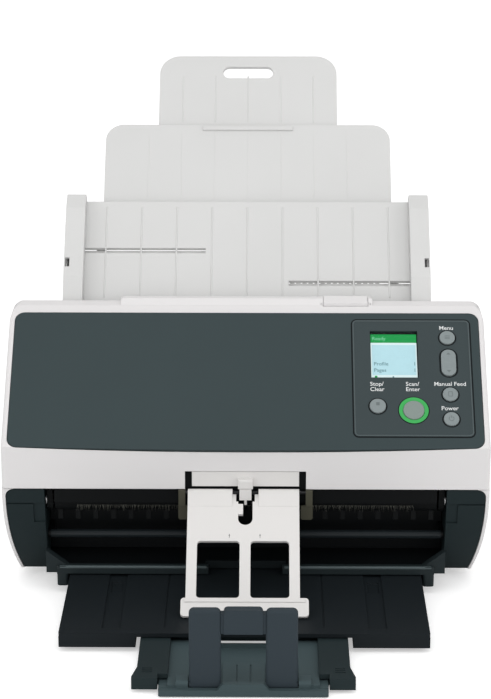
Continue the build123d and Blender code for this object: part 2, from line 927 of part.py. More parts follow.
def circuit_board():
    """Main board with its chips, standing in front of the rear cover."""
    bottom = foot_height + floor_thickness + running_gap
    board = slab(board_left, board_left + board_width, board_y, board_y + board_thickness,
                 bottom, bottom + board_height)
    front = board_y - 3
    for x, z, w, h in board_chips:
        board += slab(board_left + x, board_left + x + w, front, board_y, bottom + z, bottom + z + h)
    for x in board_cans:
        board += Pos(board_left + x, board_y - 5, bottom + 54) * Rot(90, 0, 0) * Cylinder(4, 10)
    return board


def dc_inlet():
    """Round-pin power inlet through the rear cover."""
    y0 = board_y + board_thickness
    block = slab(dc_x - dc_size / 2, dc_x + dc_size / 2, y0, body_depth - 1,
                 socket_z - dc_size / 2, socket_z + dc_size / 2)
    hole = Pos(dc_x, body_depth, socket_z) * Rot(90, 0, 0) * Cylinder(dc_hole_radius, 2 * socket_depth)
    pin = Pos(dc_x, body_depth - socket_depth / 2 - 2, socket_z) * Rot(90, 0, 0)
    return block - hole + pin * Cylinder(1, socket_depth - 2)


def usb_port():
    """Square data socket through the rear cover."""
    y0 = board_y + board_thickness
    block = slab(usb_x - usb_width / 2, usb_x + usb_width / 2, y0, body_depth - 1,
                 socket_z - usb_height / 2, socket_z + usb_height / 2)
    hole = slab(usb_x - usb_width / 2 + 1.2, usb_x + usb_width / 2 - 1.2,
                body_depth - socket_depth, body_depth,
                socket_z - usb_height / 2 + 1.2, socket_z + usb_height / 2 - 1.2)
    tongue = slab(usb_x - 2.8, usb_x + 2.8, body_depth - socket_depth - 0.1, body_depth - 3,
                  socket_z - 1.6, socket_z + 1.6)
    return block - hole + tongue


# Feeder cover
def cover_outline():
    rim_front = (panel_top_y + rim_lead, panel_top_z + rim_lead * rim_slope)
    face = polygon(
        (0, band_bottom), (0, band_top), (panel_top_y, panel_top_z), rim_front,
        (rim_back_y, rim_height), (parting_back_y, parting_back_z),
    )
    corner = face.vertices().sort_by_distance((rim_back_y, rim_height, 0))[0]
    return fillet(corner, rim_radius)


def cover_cavity():
    """Side view of the hollow, run on below the parting line so that it opens there."""
    rim_front = (panel_top_y + rim_lead, panel_top_z + rim_lead * rim_slope)
    face = polygon(
        (0, 0), (0, band_top), (panel_top_y, panel_top_z), rim_front,
        (rim_back_y, rim_height), (parting_back_y, parting_back_z), (parting_back_y, 0),
    )
    return offset(face, amount=-shell_wall, kind=Kind.INTERSECTION)


def panel_face(grow):
    """Outline of the front panel: straight top and sides, a bowed bottom edge."""
    half = panel_half_width + grow
    low = -panel_length - grow
    edges = Line((-half, low), (-half, grow)) + Line((-half, grow), (half, grow))
    edges += Line((half, grow), (half, low))
    edges += ThreePointArc((half, low), (0, low - panel_bow), (-half, low))
    face = make_face(edges)
    return fillet(face.vertices(), panel_corner_radius)


def panel_block(face, h0, h1):
    return extrude(panel_plane * Pos(0, 0, h0) * face, h1 - h0, dir=panel_plane.z_dir)


def cover_shell():
    """White outer shell of the feeder cover."""
    outer = along_x(cover_outline(), -half_width, half_width)
    ends = outer.faces().filter_by(Axis.X).edges()
    outer = fillet([e for e in ends if e.length > 2 * edge_radius and e.center().Z > parting_z(e.center().Y) + 1],
                   edge_radius)
    outer &= front_prism(0, 0)
    raised = along_x(
        polygon((rim_rise_y, rim_rise_z), (rim_back_y - 4, rim_height + raised_rim_height),
                (rim_back_y + 0.5, rim_height + raised_rim_height), (rim_back_y + 1.4, rim_height - 2.3),
                (rim_rise_y, rim_rise_z - 3)),
        -raised_rim_half, raised_rim_half,
    )
    raised = chamfer(raised.faces().filter_by(Axis.X).edges().group_by(Axis.Z)[-1], 1)
    shell = outer + raised
    half = half_width - shell_wall
    hollow = along_x(cover_cavity(), -half, half)
    shell -= hollow
    back = -panel_recess - ledge_thickness
    shell += panel_plane * slab(-half, half, -panel_length, 0, back, -panel_recess)
    shell -= panel_block(panel_face(panel_fit), -panel_recess, 2 * panel_recess)
    shell -= panel_plane * slab(
        -panel_half_width + panel_ledge, panel_half_width - panel_ledge,
        -panel_length + panel_ledge, -panel_ledge, 2 * back, 0,
    )
    shell -= slab(-notch_half_width, notch_half_width, -1, shell_wall + 1,
                  band_bottom - 1, band_bottom + notch_height)
    mouth = path_plane * slab(-side_guide_inner - 4, side_guide_inner + 4, -2, 14,
                              -2, mouth_height)
    shell -= mouth
    shell -= slab(lever_left - fit_gap, lever_right + fit_gap, lever_front_y - lever_swing_room,
                  parting_back_y, lever_bottom_z - lever_swing_room, rim_height + 2 * raised_rim_height)
    shell -= rod(lever_pin_radius + running_gap, lever_left - lever_pin_reach - fit_gap,
                 lever_right + lever_pin_reach + fit_gap, lever_axis_y, lever_axis_z)
    return shell


def cover_lever():
    """Tab in the rim that frees the cover, on two short pins at its front edge."""
    plate = along_x(
        polygon((lever_front_y, lever_bottom_z), (lever_front_y, lever_front_top_z),
                (lever_back_y - 4, rim_height + raised_rim_height + lever_rise),
                (lever_back_y, rim_height + raised_rim_height + lever_rise - 1),
                (lever_back_y, lever_bottom_z + 2), (lever_back_y - 5, lever_bottom_z)),
        lever_left, lever_right,
    )
    pins = rod(lever_pin_radius, lever_left - lever_pin_reach, lever_right + lever_pin_reach,
               lever_axis_y, lever_axis_z)
    return plate + pins


def button_hole(across, down, radius):
    return on_panel(across, down, 0) * Cylinder(radius, 6 * panel_thickness)


def rocker_slot(grow):
    return on_panel(rocker_x, rocker_down, 0) * extrude(
        SlotOverall(rocker_length + 2 * grow, rocker_width + 2 * grow, rotation=90),
        3 * panel_thickness, both=True,
    )


def control_face(grow):
    width = control_right - control_left + 2 * grow
    height = control_bottom - control_top + 2 * grow
    place = Pos((control_left + control_right) / 2, -(control_top + control_bottom) / 2)
    return place * RectangleRounded(width, height, control_corner_radius + grow)


def control_holes(grow):
    """Openings for the buttons, the light ring and the display, shared by two layers."""
    holes = []
    for name, (across, down, size) in round_buttons.items():
        radius = scan_ring_radius if name == "scan_button" else size / 2
        holes.append(button_hole(control_left + across, down, radius + button_gap + grow))
    holes.append(rocker_slot(rocker_gap + grow))
    holes.append(panel_plane * slab(lcd_left - grow, lcd_right + grow, -lcd_bottom - grow,
                                    -lcd_top + grow, -3 * panel_thickness, 3 * panel_thickness))
    return holes


def front_panel():
    """Dark inlaid panel with a pocket for the control plate and bosses for the rocker."""
    panel = panel_block(panel_face(0), panel_rise - panel_thickness, panel_rise)
    floor = control_rise - control_thickness
    panel -= panel_block(control_face(control_fit), floor, 2 * panel_thickness)
    panel -= control_holes(0)
    back = panel_rise - panel_thickness
    for side in (-1, 1):
        x = rocker_x + side * (rocker_width / 2 + rocker_gap + rocker_boss / 2)
        panel += panel_plane * slab(x - rocker_boss / 2, x + rocker_boss / 2,
                                    -rocker_down - 2.4, -rocker_down + 2.4,
                                    -rocker_pin_depth - 2, back)
    hole = on_panel(rocker_x, rocker_down, -rocker_pin_depth) * Rot(0, 90, 0)
    return panel - hole * Cylinder(rocker_pin_radius + running_gap, 2 * rocker_width)


def control_plate():
    face = control_face(0)
    plate = panel_block(face, control_rise - control_thickness, control_rise)
    return plate - control_holes(0)


def round_button(name):
    """Cap on a stem with a flange that stops behind the front panel."""
    across, down, size = round_buttons[name]
    radius = size / 2
    back = panel_rise - panel_thickness
    if name == "scan_button":
        back -= ring_flange_thickness + running_gap
    flange_top = back - running_gap
    flange_bottom = flange_top - button_flange_thickness
    top = control_rise + button_rise
    cap = Pos(0, 0, (flange_bottom + top) / 2) * Cylinder(radius, top - flange_bottom)
    cap = fillet(cap.edges().group_by(Axis.Z)[-1], button_rise / 2)
    middle = (flange_top + flange_bottom) / 2
    cap += Pos(0, 0, middle) * Cylinder(radius + button_flange, button_flange_thickness)
    return on_panel(control_left + across, down, 0) * cap


def rocker_button():
    """Two-way key that tips on a pin across its middle."""
    slot = SlotOverall(rocker_length, rocker_width, rotation=90)
    top = control_rise + button_rise
    key = extrude(Pos(0, 0, -rocker_pin_depth - 1.6) * slot, top + rocker_pin_depth + 1.6)
    key = fillet(key.edges().group_by(Axis.Z)[-1], button_rise / 2)
    dip = Pos(0, 0, top + rocker_dip_radius - 0.5) * Rot(0, 90, 0)
    key -= dip * Cylinder(rocker_dip_radius, 2 * rocker_width)
    pin_length = rocker_width + 2 * rocker_gap + rocker_boss
    key += Pos(0, 0, -rocker_pin_depth) * Rot(0, 90, 0) * Cylinder(rocker_pin_radius, pin_length)
    return on_panel(rocker_x, rocker_down, 0) * key


def scan_ring():
    """Light ring round the scan button, held by a flange behind the panel."""
    across, down, size = round_buttons["scan_button"]
    back = panel_rise - panel_thickness - running_gap
    top = control_rise + 0.3
    ring = Pos(0, 0, (back + top) / 2) * Cylinder(scan_ring_radius, top - back)
    flange = Pos(0, 0, back - ring_flange_thickness / 2)
    ring += flange * Cylinder(scan_ring_radius + button_flange, ring_flange_thickness)
    ring -= Cylinder(size / 2 + ring_button_gap, 6 * panel_thickness)
    return on_panel(control_left + across, down, 0) * ring


def lcd_module():
    """Display body behind the panel with its raised face in the opening."""
    back = panel_rise - panel_thickness
    face = control_rise - lcd_recess - lcd_glass_thickness
    margin = lcd_margin
    body = panel_plane * slab(lcd_left - margin, lcd_right + margin, -lcd_bottom - margin,
                              -lcd_top + margin, -switch_board_depth + running_gap, back - running_gap)
    raised = panel_plane * slab(lcd_left + fit_gap, lcd_right - fit_gap, -lcd_bottom + fit_gap,
                                -lcd_top - fit_gap, back - 1, face)
    return body + raised


def lcd_glass():
    face = control_rise - lcd_recess - lcd_glass_thickness
    return panel_plane * slab(lcd_left + fit_gap, lcd_right - fit_gap, -lcd_bottom + fit_gap,
                              -lcd_top - fit_gap, face, face + lcd_glass_thickness)


def switch_board():
    """Board behind the keys with one switch under each."""
    board = panel_plane * slab(control_left + 2, control_right - 3, -control_bottom + 2,
                               -control_top - 6, -switch_board_depth - switch_board_thickness,
                               -switch_board_depth)
    for name, (across, down, size) in round_buttons.items():
        height = switch_height
        if name == "scan_button":
            height -= ring_flange_thickness
        place = on_panel(control_left + across, down, -switch_board_depth + height / 2)
        board += place * Box(5, 5, height)
    for side in (-1, 1):
        place = on_panel(rocker_x, rocker_down + side * rocker_length / 3, -switch_board_depth)
        board += place * Pos(0, 0, rocker_switch_height / 2) * Box(4, 3, rocker_switch_height)
    for across, down in board_posts:
        post = on_panel(control_left + across, down, -switch_board_depth - 0.5)
        tall = switch_board_depth + 0.5 + panel_rise - panel_thickness - running_gap
        board += post * extrude(Circle(1.8), tall)
    return board


def latch_tab():
    """White tab in the band's notch, with the nub that reaches over the guide's hinge."""
    top = band_bottom + notch_height - fit_gap
    bottom = band_bottom + tab_drop
    tab = slab(-tab_half_width, tab_half_width, tab_depth, shell_wall, bottom, top)
    nub_top = top - nub_top_drop
    upper = slab(-nub_half_width, nub_half_width, -nub_reach, shell_wall, nub_step_z, nub_top)
    upper = fillet(upper.edges().group_by(Axis.Y)[0], 1)
    lower = slab(-nub_lower_half_width, nub_lower_half_width, -nub_reach, shell_wall - 0.4,
                 nub_tip_z, nub_step_z)
    tip = Pos(0, -nub_reach / 2 - 0.6, nub_tip_z - nub_pin_length / 2)
    tab += upper + lower + tip * Cylinder(nub_pin_radius, nub_pin_length)
    return tab - rod(guide_rod_radius + 3 * running_gap, -nub_half_width - 1, nub_half_width + 1,
                     guide_axis_y, guide_axis_z)


def guide_brackets():
    """Pair of small brackets that hold the ends of the guide's rod."""
    block = slab(notch_half_width - 0.2, notch_half_width - 0.2 + bracket_width,
                 guide_axis_y - guide_barrel_radius, strip_front_y - running_gap,
                 strip_bottom_z - 0.5, band_bottom - fit_gap)
    hole = rod(guide_rod_radius + running_gap, 0, half_width, guide_axis_y, guide_axis_z)
    return both_sides(block - hole)


def guide_rod():
    end = notch_half_width + bracket_width - 0.4
    return rod(guide_rod_radius, -end, end, guide_axis_y, guide_axis_z)


def guide_slab(x0, x1, start, end, h0, h1):
    """A block on the guide plate: start and end are distances from the hinge."""
    return guide_plane * slab(x0, x1, -end, -start, h0, h1)


def stacker_guide():
    """White plate that hangs over the stacker, with two windows and a keyhole."""
    low = -guide_barrel_radius
    high = low + guide_plate_thickness
    plate = guide_slab(-guide_left, guide_right, 1.2, window_end + 2, low, high)
    foot = guide_slab(-guide_foot_half, guide_foot_half, window_end, guide_length, low, high)
    foot = fillet(foot.edges().filter_by(guide_axis), 2.2)
    rim = guide_slab(-guide_foot_half + 2, guide_foot_half - 2, window_end + 1, window_end + 3,
                     low, high + 0.5)
    plate += foot + rim
    for x0, x1 in ((-guide_left + window_outer_inset, -divider_half_width),
                   (divider_half_width, guide_right - window_outer_inset)):
        window = guide_slab(x0, x1, window_start, window_end, low - 1, high + 2)
        plate -= fillet(window.edges().filter_by(guide_axis), 2.2)
    slot = guide_slab(-keyhole_half_width, keyhole_half_width, 0, keyhole_end - keyhole_half_width,
                      low - 1, high + 1)
    slot += guide_plane * Pos(0, -keyhole_end + keyhole_half_width, low) * Cylinder(keyhole_half_width, 6)
    hook = guide_slab(-keyhole_half_width - 1, -keyhole_hook_x, keyhole_hook_start, keyhole_hook_end,
                      low - 1, high + 1)
    wide = guide_slab(-keyhole_wide_half, keyhole_wide_half, -3, keyhole_wide, low - 3, high + 4)
    plate = plate - (slot - hook)
    knuckle = rod(guide_barrel_radius, knuckle_start, guide_right, guide_axis_y, guide_axis_z)
    plate += both_sides(knuckle)
    bore = rod(guide_rod_radius + running_gap, -half_width, half_width, guide_axis_y, guide_axis_z)
    return plate - wide - bore


def cover_sheet_guide():
    """Upper face of the paper path with its mouth, side walls, flanges and front strip."""
    low = guide_gap
    high = guide_gap + guide_thickness
    end = exit_tangent_down + 2.5
    half = path_half_width
    plate = path_plane * slab(-half, half, -end, -mouth_start, low, high)
    flare = polygon(on_path(mouth_start + 0.6, low), on_path(-0.5, mouth_height - 0.6),
                    on_path(0.8, mouth_height + 1.2), on_path(mouth_start + 0.6, high))
    plate += along_x(flare, -side_guide_inner - 3, side_guide_inner + 3)
    strip = slab(-half, half, strip_front_y, strip_front_y + strip_thickness, strip_bottom_z, strip_top_z)
    wall_bottom = on_path(end - 3, low)
    wall_top = on_path(wall_back_down, low)
    wall = polygon(wall_bottom, wall_top, (wall_top[0], parting_z(wall_top[0]) + flange_height),
                   (strip_front_y + 1, parting_z(strip_front_y) + flange_height),
                   (strip_front_y + 1, strip_bottom_z + 3))
    walls = both_sides(along_x(wall, half - wall_thickness, half))
    y0, y1 = strip_front_y + 0.6, flange_back_y
    flange = polygon((y0, parting_z(y0) + fit_gap), (y1, parting_z(y1) + fit_gap),
                     (y1, parting_z(y1) + flange_height), (y0, parting_z(y0) + flange_height))
    flanges = both_sides(along_x(flange, half - wall_thickness, half_width - shell_wall - fit_gap))
    arm_x = frame_inner_half - hinge_arm_gap
    arm = polygon((hinge_y - hinge_arm_radius, hinge_z), (arm_front_y, parting_z(arm_front_y) + fit_gap + 1),
                  (arm_back_y, parting_z(arm_back_y) + fit_gap + 1),
                  from_hinge(24, 62), from_hinge(13.5, 70), (hinge_y + hinge_arm_radius, hinge_z))
    arm += Pos(hinge_y, hinge_z) * Circle(hinge_arm_radius)
    arms = both_sides(along_x(arm, arm_x - hinge_arm_thickness, arm_x))
    guide = plate + strip + walls + flanges + arms
    h0, h1 = low - 2, high + 3
    guide -= path_windows(pick_down, pick_places, tyre_width + 2, 2 * brake_radius + 1, h0, h1)
    guide -= path_windows(feed_down, feed_places, tyre_width + 2, 2 * feed_idler_radius + 1, h0, h1)
    guide -= path_windows(exit_down, exit_places, tyre_width + 2, 2 * exit_idler_radius + 1, h0, h1)
    guide -= path_plane * slab(
        -glass_half_length - 0.1, glass_half_length + 0.1,
        -glass_down - glass_width / 2 - 0.1, -glass_down + glass_width / 2 + 0.1, h0, h1,
    )
    hinges = rod(hinge_pin_radius + running_gap, -frame_inner_half, frame_inner_half, hinge_y, hinge_z)
    bores = [
        rod(idler_shaft_radius + running_gap, -half - 1, half + 1, *axis)
        for axis in (brake_axis, feed_idler_axis, exit_idler_axis)
    ]
    return guide - hinges - bores


def cover_scan_glass():
    return glass_strip(guide_gap + 0.1)


def cover_image_sensor():
    base = guide_gap + guide_thickness + running_gap
    return sensor_box(base, base + sensor_cover_depth)


# Stacker
def tray():
    """Wide first tray: a ribbed plate with skirts, runners and side tongues."""
    back = tray_front_y + tray_length
    under = tray_top - tray_plate
    half = tray_half_width
    plate = slab(-half, half, tray_front_y, back, under, tray_top)
    plate = fillet(plate.edges().filter_by(Axis.Z).group_by(Axis.Y)[0], 1.5)
    skirt = slab(tray_gap_half, half, tray_front_y, tray_front_y + tray_plate, tray_bottom, under)
    side = slab(half - tray_plate, half, tray_front_y + tray_plate, back, tray_bottom, under)
    runner = slab(tray_gap_half, tray_gap_half + tray_plate, tray_front_y + tray_plate, back,
                  tray_bottom, under)
    shelf = slab(tray_gap_half - shelf_reach, tray_gap_half, shelf_start_y, back,
                 tray_bottom, shelf_top)
    tongue = slab(half, half + tongue_reach, rail_front_y + 1, back, tongue_bottom, tongue_top)
    body = plate + both_sides(skirt + side + runner + shelf + tongue)
    deep = tray_top - channel_depth
    line = slab(groove_x - 0.5, groove_x + 0.5, tray_front_y + 8, back, tray_top - groove_depth, tray_top + 1)
    channel = slab(channel_inner, channel_outer, tray_front_y + 7, back, deep, tray_top + 1)
    pocket = slab(channel_inner + 2, channel_outer - 2, pocket_front_y, pocket_front_y + 16,
                  deep - 0.7, tray_top)
    return body - both_sides(line + channel + pocket)


def tray_extension():
    """Second stage: two wings joined at the back, with shelves for the carriage."""
    front = extension_front_y
    back = front + extension_length
    half = extension_half_width
    wing_under = extension_top - wing_thickness
    wing = slab(wing_inner_half, half, front, back, wing_under, extension_top)
    rail = slab(carriage_half_width + 0.4, half, front, back, extension_bottom, wing_under)
    ledge = slab(wing_inner_half + 0.8, carriage_half_width + 0.4, front, back,
                 carriage_bottom + 0.5, flange_low - running_slack)
    flare = extrude(
        Plane.XY.offset(extension_bottom)
        * polygon((half, front + flare_length), (half + extension_flare, front + 3),
                  (half + extension_flare, front), (half, front)),
        extension_top - extension_bottom,
    )
    notch = slab(wing_inner_half - 1, carriage_half_width + 0.7, front - 1, front + notch_length,
                 0, extension_top + 1)
    shoe = slab(half, tray_gap_half - running_slack, back - 14, back, shelf_top + running_slack,
                extension_top - 1)
    sides = both_sides(wing + rail + ledge + flare - notch + shoe)
    cross = slab(-wing_inner_half - 1, wing_inner_half + 1, back - cross_length, back,
                 extension_bottom, extension_top)
    grip = slab(wing_inner_half + 9, half - 3, front + 8, front + 9, extension_top - 0.4, extension_top + 1)
    grips = [Pos(0, i * 2.4, 0) * both_sides(grip) for i in range(3)]
    return sides + cross - grips


def stopper_carriage():
    """Third stage: a shallow tray that carries the folding stopper."""
    front = carriage_front_y
    back = front + carriage_length
    inner = wing_inner_half + 0.4 - running_slack
    floor = slab(-inner, inner, front, back, carriage_bottom, carriage_floor_top)
    rim = slab(-carriage_half_width, carriage_half_width, front, front + rim_depth,
               carriage_bottom, rim_top_z)
    rim = fillet(rim.edges().filter_by(Axis.Z).group_by(Axis.Y)[0], 1.5)
    nose = extrude(
        Plane.XZ.offset(-front - rim_depth)
        * polygon((-post_inner_half - 2, rim_top_z), (-post_inner_half + 1, carriage_top),
                  (post_inner_half - 1, carriage_top), (post_inner_half + 2, rim_top_z)),
        rim_depth,
    )
    pad = slab(post_outer_half + 0.6, inner, front + rim_depth, back, carriage_floor_top, pad_top)
    cheek = slab(post_outer_half + 0.6, post_outer_half + 0.6 + cheek_width,
                 front + rim_depth - 0.5, stopper_axis_y + cheek_reach, carriage_floor_top,
                 stopper_axis_z + stopper_thickness / 2)
    cheek = fillet(cheek.edges().filter_by(Axis.X).group_by(Axis.Z)[-1], 2)
    flange = slab(inner, carriage_half_width, front + rim_depth - 0.5, back, flange_low, flange_high)
    mid = slab(-post_inner_half + 0.5, post_inner_half - 0.5, front + rim_depth, mid_back_y,
               carriage_floor_top, mid_top)
    lines = [
        slab(x - 0.4, x + 0.4, front + rim_depth + 4, mid_back_y - 3, mid_top - 0.5, mid_top + 1)
        for x in (-3.9, 3.9)
    ]
    end = slab(-inner, inner, back - 2, back, carriage_floor_top, rim_top_z)
    body = floor + rim + nose + both_sides(pad + cheek + flange) + (mid - lines) + end
    hole = rod(stopper_pin_radius + running_gap, -stopper_pin_half - 0.3, stopper_pin_half + 0.3,
               stopper_axis_y, stopper_axis_z)
    clear = slab(-post_outer_half - 0.5, post_outer_half + 0.5, stopper_axis_y - 3.4,
                 stopper_axis_y + 5, carriage_floor_top, rim_top_z + 9)
    pads = clear - slab(-post_inner_half + 0.4, post_inner_half - 0.4, -200, 0, 0, 20)
    return body - hole - pads


def stopper():
    """Folding stop: two round-topped posts, a lobed cross bar and its pivot pins."""
    half = stopper_thickness / 2
    top = stopper_axis_z + stopper_height
    post = slab(post_inner_half, post_outer_half, stopper_axis_y - half, stopper_axis_y + half,
                stopper_axis_z, top)
    post = fillet(post.edges().filter_by(Axis.Y).group_by(Axis.Z)[-1], 3)
    post = fillet(post.edges().filter_by(Axis.X).group_by(Axis.Z)[-1], 1.6)
    post += rod(half, post_inner_half, post_outer_half, stopper_axis_y, stopper_axis_z)
    inner = post_inner_half - lobe_gap
    bar = slab(-post_inner_half, post_inner_half, stopper_axis_y - half + 0.8, stopper_axis_y + half,
               top - crossbar_height, top - lobe_drop)
    lobe = slab(-inner, inner, stopper_axis_y - half, stopper_axis_y + half,
                top - crossbar_height, top)
    lobe = fillet(lobe.edges().filter_by(Axis.Y).group_by(Axis.Z)[-1], 2.4)
    web = slab(-post_inner_half - 1, post_inner_half + 1, stopper_axis_y + 0.8, stopper_axis_y + half,
               top - crossbar_height, top - lobe_drop)
    pins = rod(stopper_pin_radius, post_outer_half, stopper_pin_half, stopper_axis_y, stopper_axis_z)
    return both_sides(post) + bar + lobe + web + both_sides(pins)


# Paper chute
def rack_level(reach):
    return pinion_up + rack_pitch_radius + reach


def involute_half_angle(radius):
    """Half the angle that a pinion tooth takes up at a radius, by the involute."""
    pressure = math.radians(pressure_angle)
    at_pitch = (tooth_width / 2) / rack_pitch_radius + math.tan(pressure) - pressure
    turn = math.acos(min(1.0, base_circle / radius))
    return at_pitch - (math.tan(turn) - turn)


def round_point(radius, angle):
    return (radius * math.cos(angle), radius * math.sin(angle))


def pinion_face():
    """Toothed wheel with involute flanks, drawn about its own middle."""
    root = rack_pitch_radius - pinion_root_depth
    tip = rack_pitch_radius + rack_module
    middle = (base_circle + tip) / 2
    edges = Curve()
    step = 2 * math.pi / pinion_teeth
    for i in range(pinion_teeth):
        centre = math.pi / 2 + i * step
        base, mid, end = (involute_half_angle(r) for r in (base_circle, middle, tip))
        a, b = round_point(root, centre - base), round_point(base_circle, centre - base)
        c, d = round_point(middle, centre - mid), round_point(tip, centre - end)
        e, f = round_point(tip, centre + end), round_point(middle, centre + mid)
        g, h = round_point(base_circle, centre + base), round_point(root, centre + base)
        edges += Line(a, b) + ThreePointArc(b, c, d) + Line(d, e)
        edges += ThreePointArc(e, f, g) + Line(g, h)
        edges += Line(h, round_point(root, centre + step - base))
    return make_face(edges)


def guide_pinion():
    wheel = extrude(pinion_face(), rack_thickness)
    wheel -= Cylinder(pinion_bore + running_gap, 3 * rack_thickness)
    return path_plane * Pos(0, pinion_up, rack_bottom) * wheel


def rack_outline():
    """Toothed bar of the left side guide, in the chute's own plane."""
    pitch = math.pi * rack_module
    lean = math.tan(math.radians(pressure_angle))
    level = rack_level(0)
    tip = level - rack_tip_height
    root = level + rack_root_depth
    points = [(rack_end, root + rack_bar), (-rack_back, root + rack_bar), (-rack_back, root)]
    count = round((rack_back - rack_bare) / pitch)
    first = -count + 0.5
    for k in range(count + 2):
        x = (first + k) * pitch
        wide = tooth_width / 2 + rack_root_depth * lean
        thin = tooth_width / 2 - rack_tip_height * lean
        points += [(x - wide, root), (x - thin, tip), (x + thin, tip), (x + wide, root)]
    points.append((rack_end, root))
    return polygon(*points)


def sheet_fence():
    """Hollow fence of the left side guide, open below, in the chute's own plane."""
    low = side_guide_bottom
    high = side_guide_top
    profile = polygon((low, fence_gap), (low, 6.5), (22, side_guide_height),
                      (high - 12, side_guide_height), (high, 6), (high, fence_gap))
    fence = along_x(profile, -side_guide_outer, -side_guide_inner)
    inside = offset(profile, amount=-fence_wall, kind=Kind.INTERSECTION)
    inside += Pos(0, -fence_wall - 1) * inside
    fence -= along_x(inside, fence_wall - side_guide_outer, -side_guide_inner - fence_wall)
    fence -= slab(-side_guide_outer + 0.8, -side_guide_outer + 3.6, 29, 35.5,
                  side_guide_height - 2 * fence_wall, side_guide_height + 1)
    foot = slab(fence_wall - side_guide_outer - 1, -side_guide_inner - fence_wall + 1,
                level_low - 3, rack_back_level + 3, fence_gap, fence_gap + 2)
    return fence + foot


def side_guide_rack():
    """Neck through the chute and the toothed bar behind it."""
    level = rack_level(rack_root_depth)
    neck = slab(-neck_outer, -neck_inner, level + 0.2, level + rack_bar - 0.2,
                rack_bottom, fence_gap + 1)
    rack = Pos(0, 0, rack_bottom) * extrude(rack_outline(), rack_thickness)
    return neck + rack


def side_guide_left():
    return path_plane * (sheet_fence() + side_guide_rack())


def side_guide_right():
    turned = Pos(0, pinion_up, 0) * Rot(0, 0, 180) * Pos(0, -pinion_up, 0) * side_guide_rack()
    return path_plane * (mirrored(sheet_fence()) + turned)


def chute_plate():
    """Chute with slots for the side guides and hooks and rails on its back."""
    low = -chute_thickness
    lower = path_plane * slab(-chute_half_width, chute_half_width, chute_start, chute_step, low, 0)
    upper = path_plane * slab(-chute_upper_half, chute_upper_half, chute_step, chute_length, low, 0)
    upper = fillet(upper.edges().filter_by(path_axis).group_by(Axis.Z)[-1], 8)
    level = rack_level(rack_root_depth)
    near = neck_inner - side_guide_in - 1
    far = neck_outer + side_guide_out + 0.7
    slot = slab(-far, -near, level - 0.3, level + rack_bar + 0.3, low - 1, 1)
    other = Pos(0, pinion_up, 0) * Rot(0, 0, 180) * Pos(0, -pinion_up, 0) * slot
    plate = lower + upper - path_plane * slot - path_plane * other
    rail_inner = extension_1_half + running_slack
    slide_low = slide_1_top - chute_slide_thickness
    rail = slab(rail_inner, rail_inner + rail_wall, rail_start, chute_length - 2,
                slide_low - 1.4, low)
    gap = slab(rail_inner - 1, rail_inner + rail_wall + 1, level_low - 1.5, level + rack_bar + 1.5,
               slide_1_top - 0.1, low + 0.01)
    lip = slab(rail_inner - 3, rail_inner + rail_wall, rail_start, chute_length - 2,
               slide_low - 1.4, slide_low - running_slack)
    plate += path_plane * both_sides(rail - gap + lip)
    hook = slab(hook_x, hook_x + hook_width, -hook_reach, chute_start + 3, -hook_drop, -hook_drop + 2.4)
    hook += slab(hook_x, hook_x + hook_width, chute_start, chute_start + 3, -hook_drop, low)
    plate += path_plane * both_sides(hook)
    post = Pos(0, pinion_up, (low + rack_bottom) / 2) * Cylinder(pinion_bore, low - rack_bottom)
    return plate + path_plane * post


def chute_extension_1():
    """First pull-out sheet support with rails for the second on its back."""
    low = slide_1_top - chute_slide_thickness
    end = extension_1_start + extension_1_length
    sheet = slab(-extension_1_half, extension_1_half, extension_1_start, end, low, slide_1_top)
    sheet = fillet(sheet.edges().filter_by(Axis.Z).group_by(Axis.Y)[-1], 12)
    lip = Pos(0, end - 3, slide_1_top + 0.6) * Box(60, 3, 1.2)
    slide_low = slide_2_top - chute_slide_thickness
    inner = extension_2_half + running_slack
    rail = slab(inner, inner + rail_wall, extension_1_start + 4, end - 3, slide_low - 1.4, low)
    rail += slab(inner - 3, inner + rail_wall, extension_1_start + 4, end - 3,
                 slide_low - 1.4, slide_low - running_slack)
    return path_plane * (sheet + lip + both_sides(rail))


def chute_extension_2():
    """Second pull-out sheet support with a finger opening at its top."""
    end = extension_2_start + extension_2_length
    low = slide_2_top - chute_slide_thickness
    sheet = slab(-extension_2_half, extension_2_half, extension_2_start, end, low, slide_2_top)
    sheet = fillet(sheet.edges().filter_by(Axis.Z).group_by(Axis.Y)[-1], 14)
    grip = Pos(0, end - 13, 0) * extrude(SlotOverall(34, 9), 40, both=True)
    return path_plane * (sheet - grip)


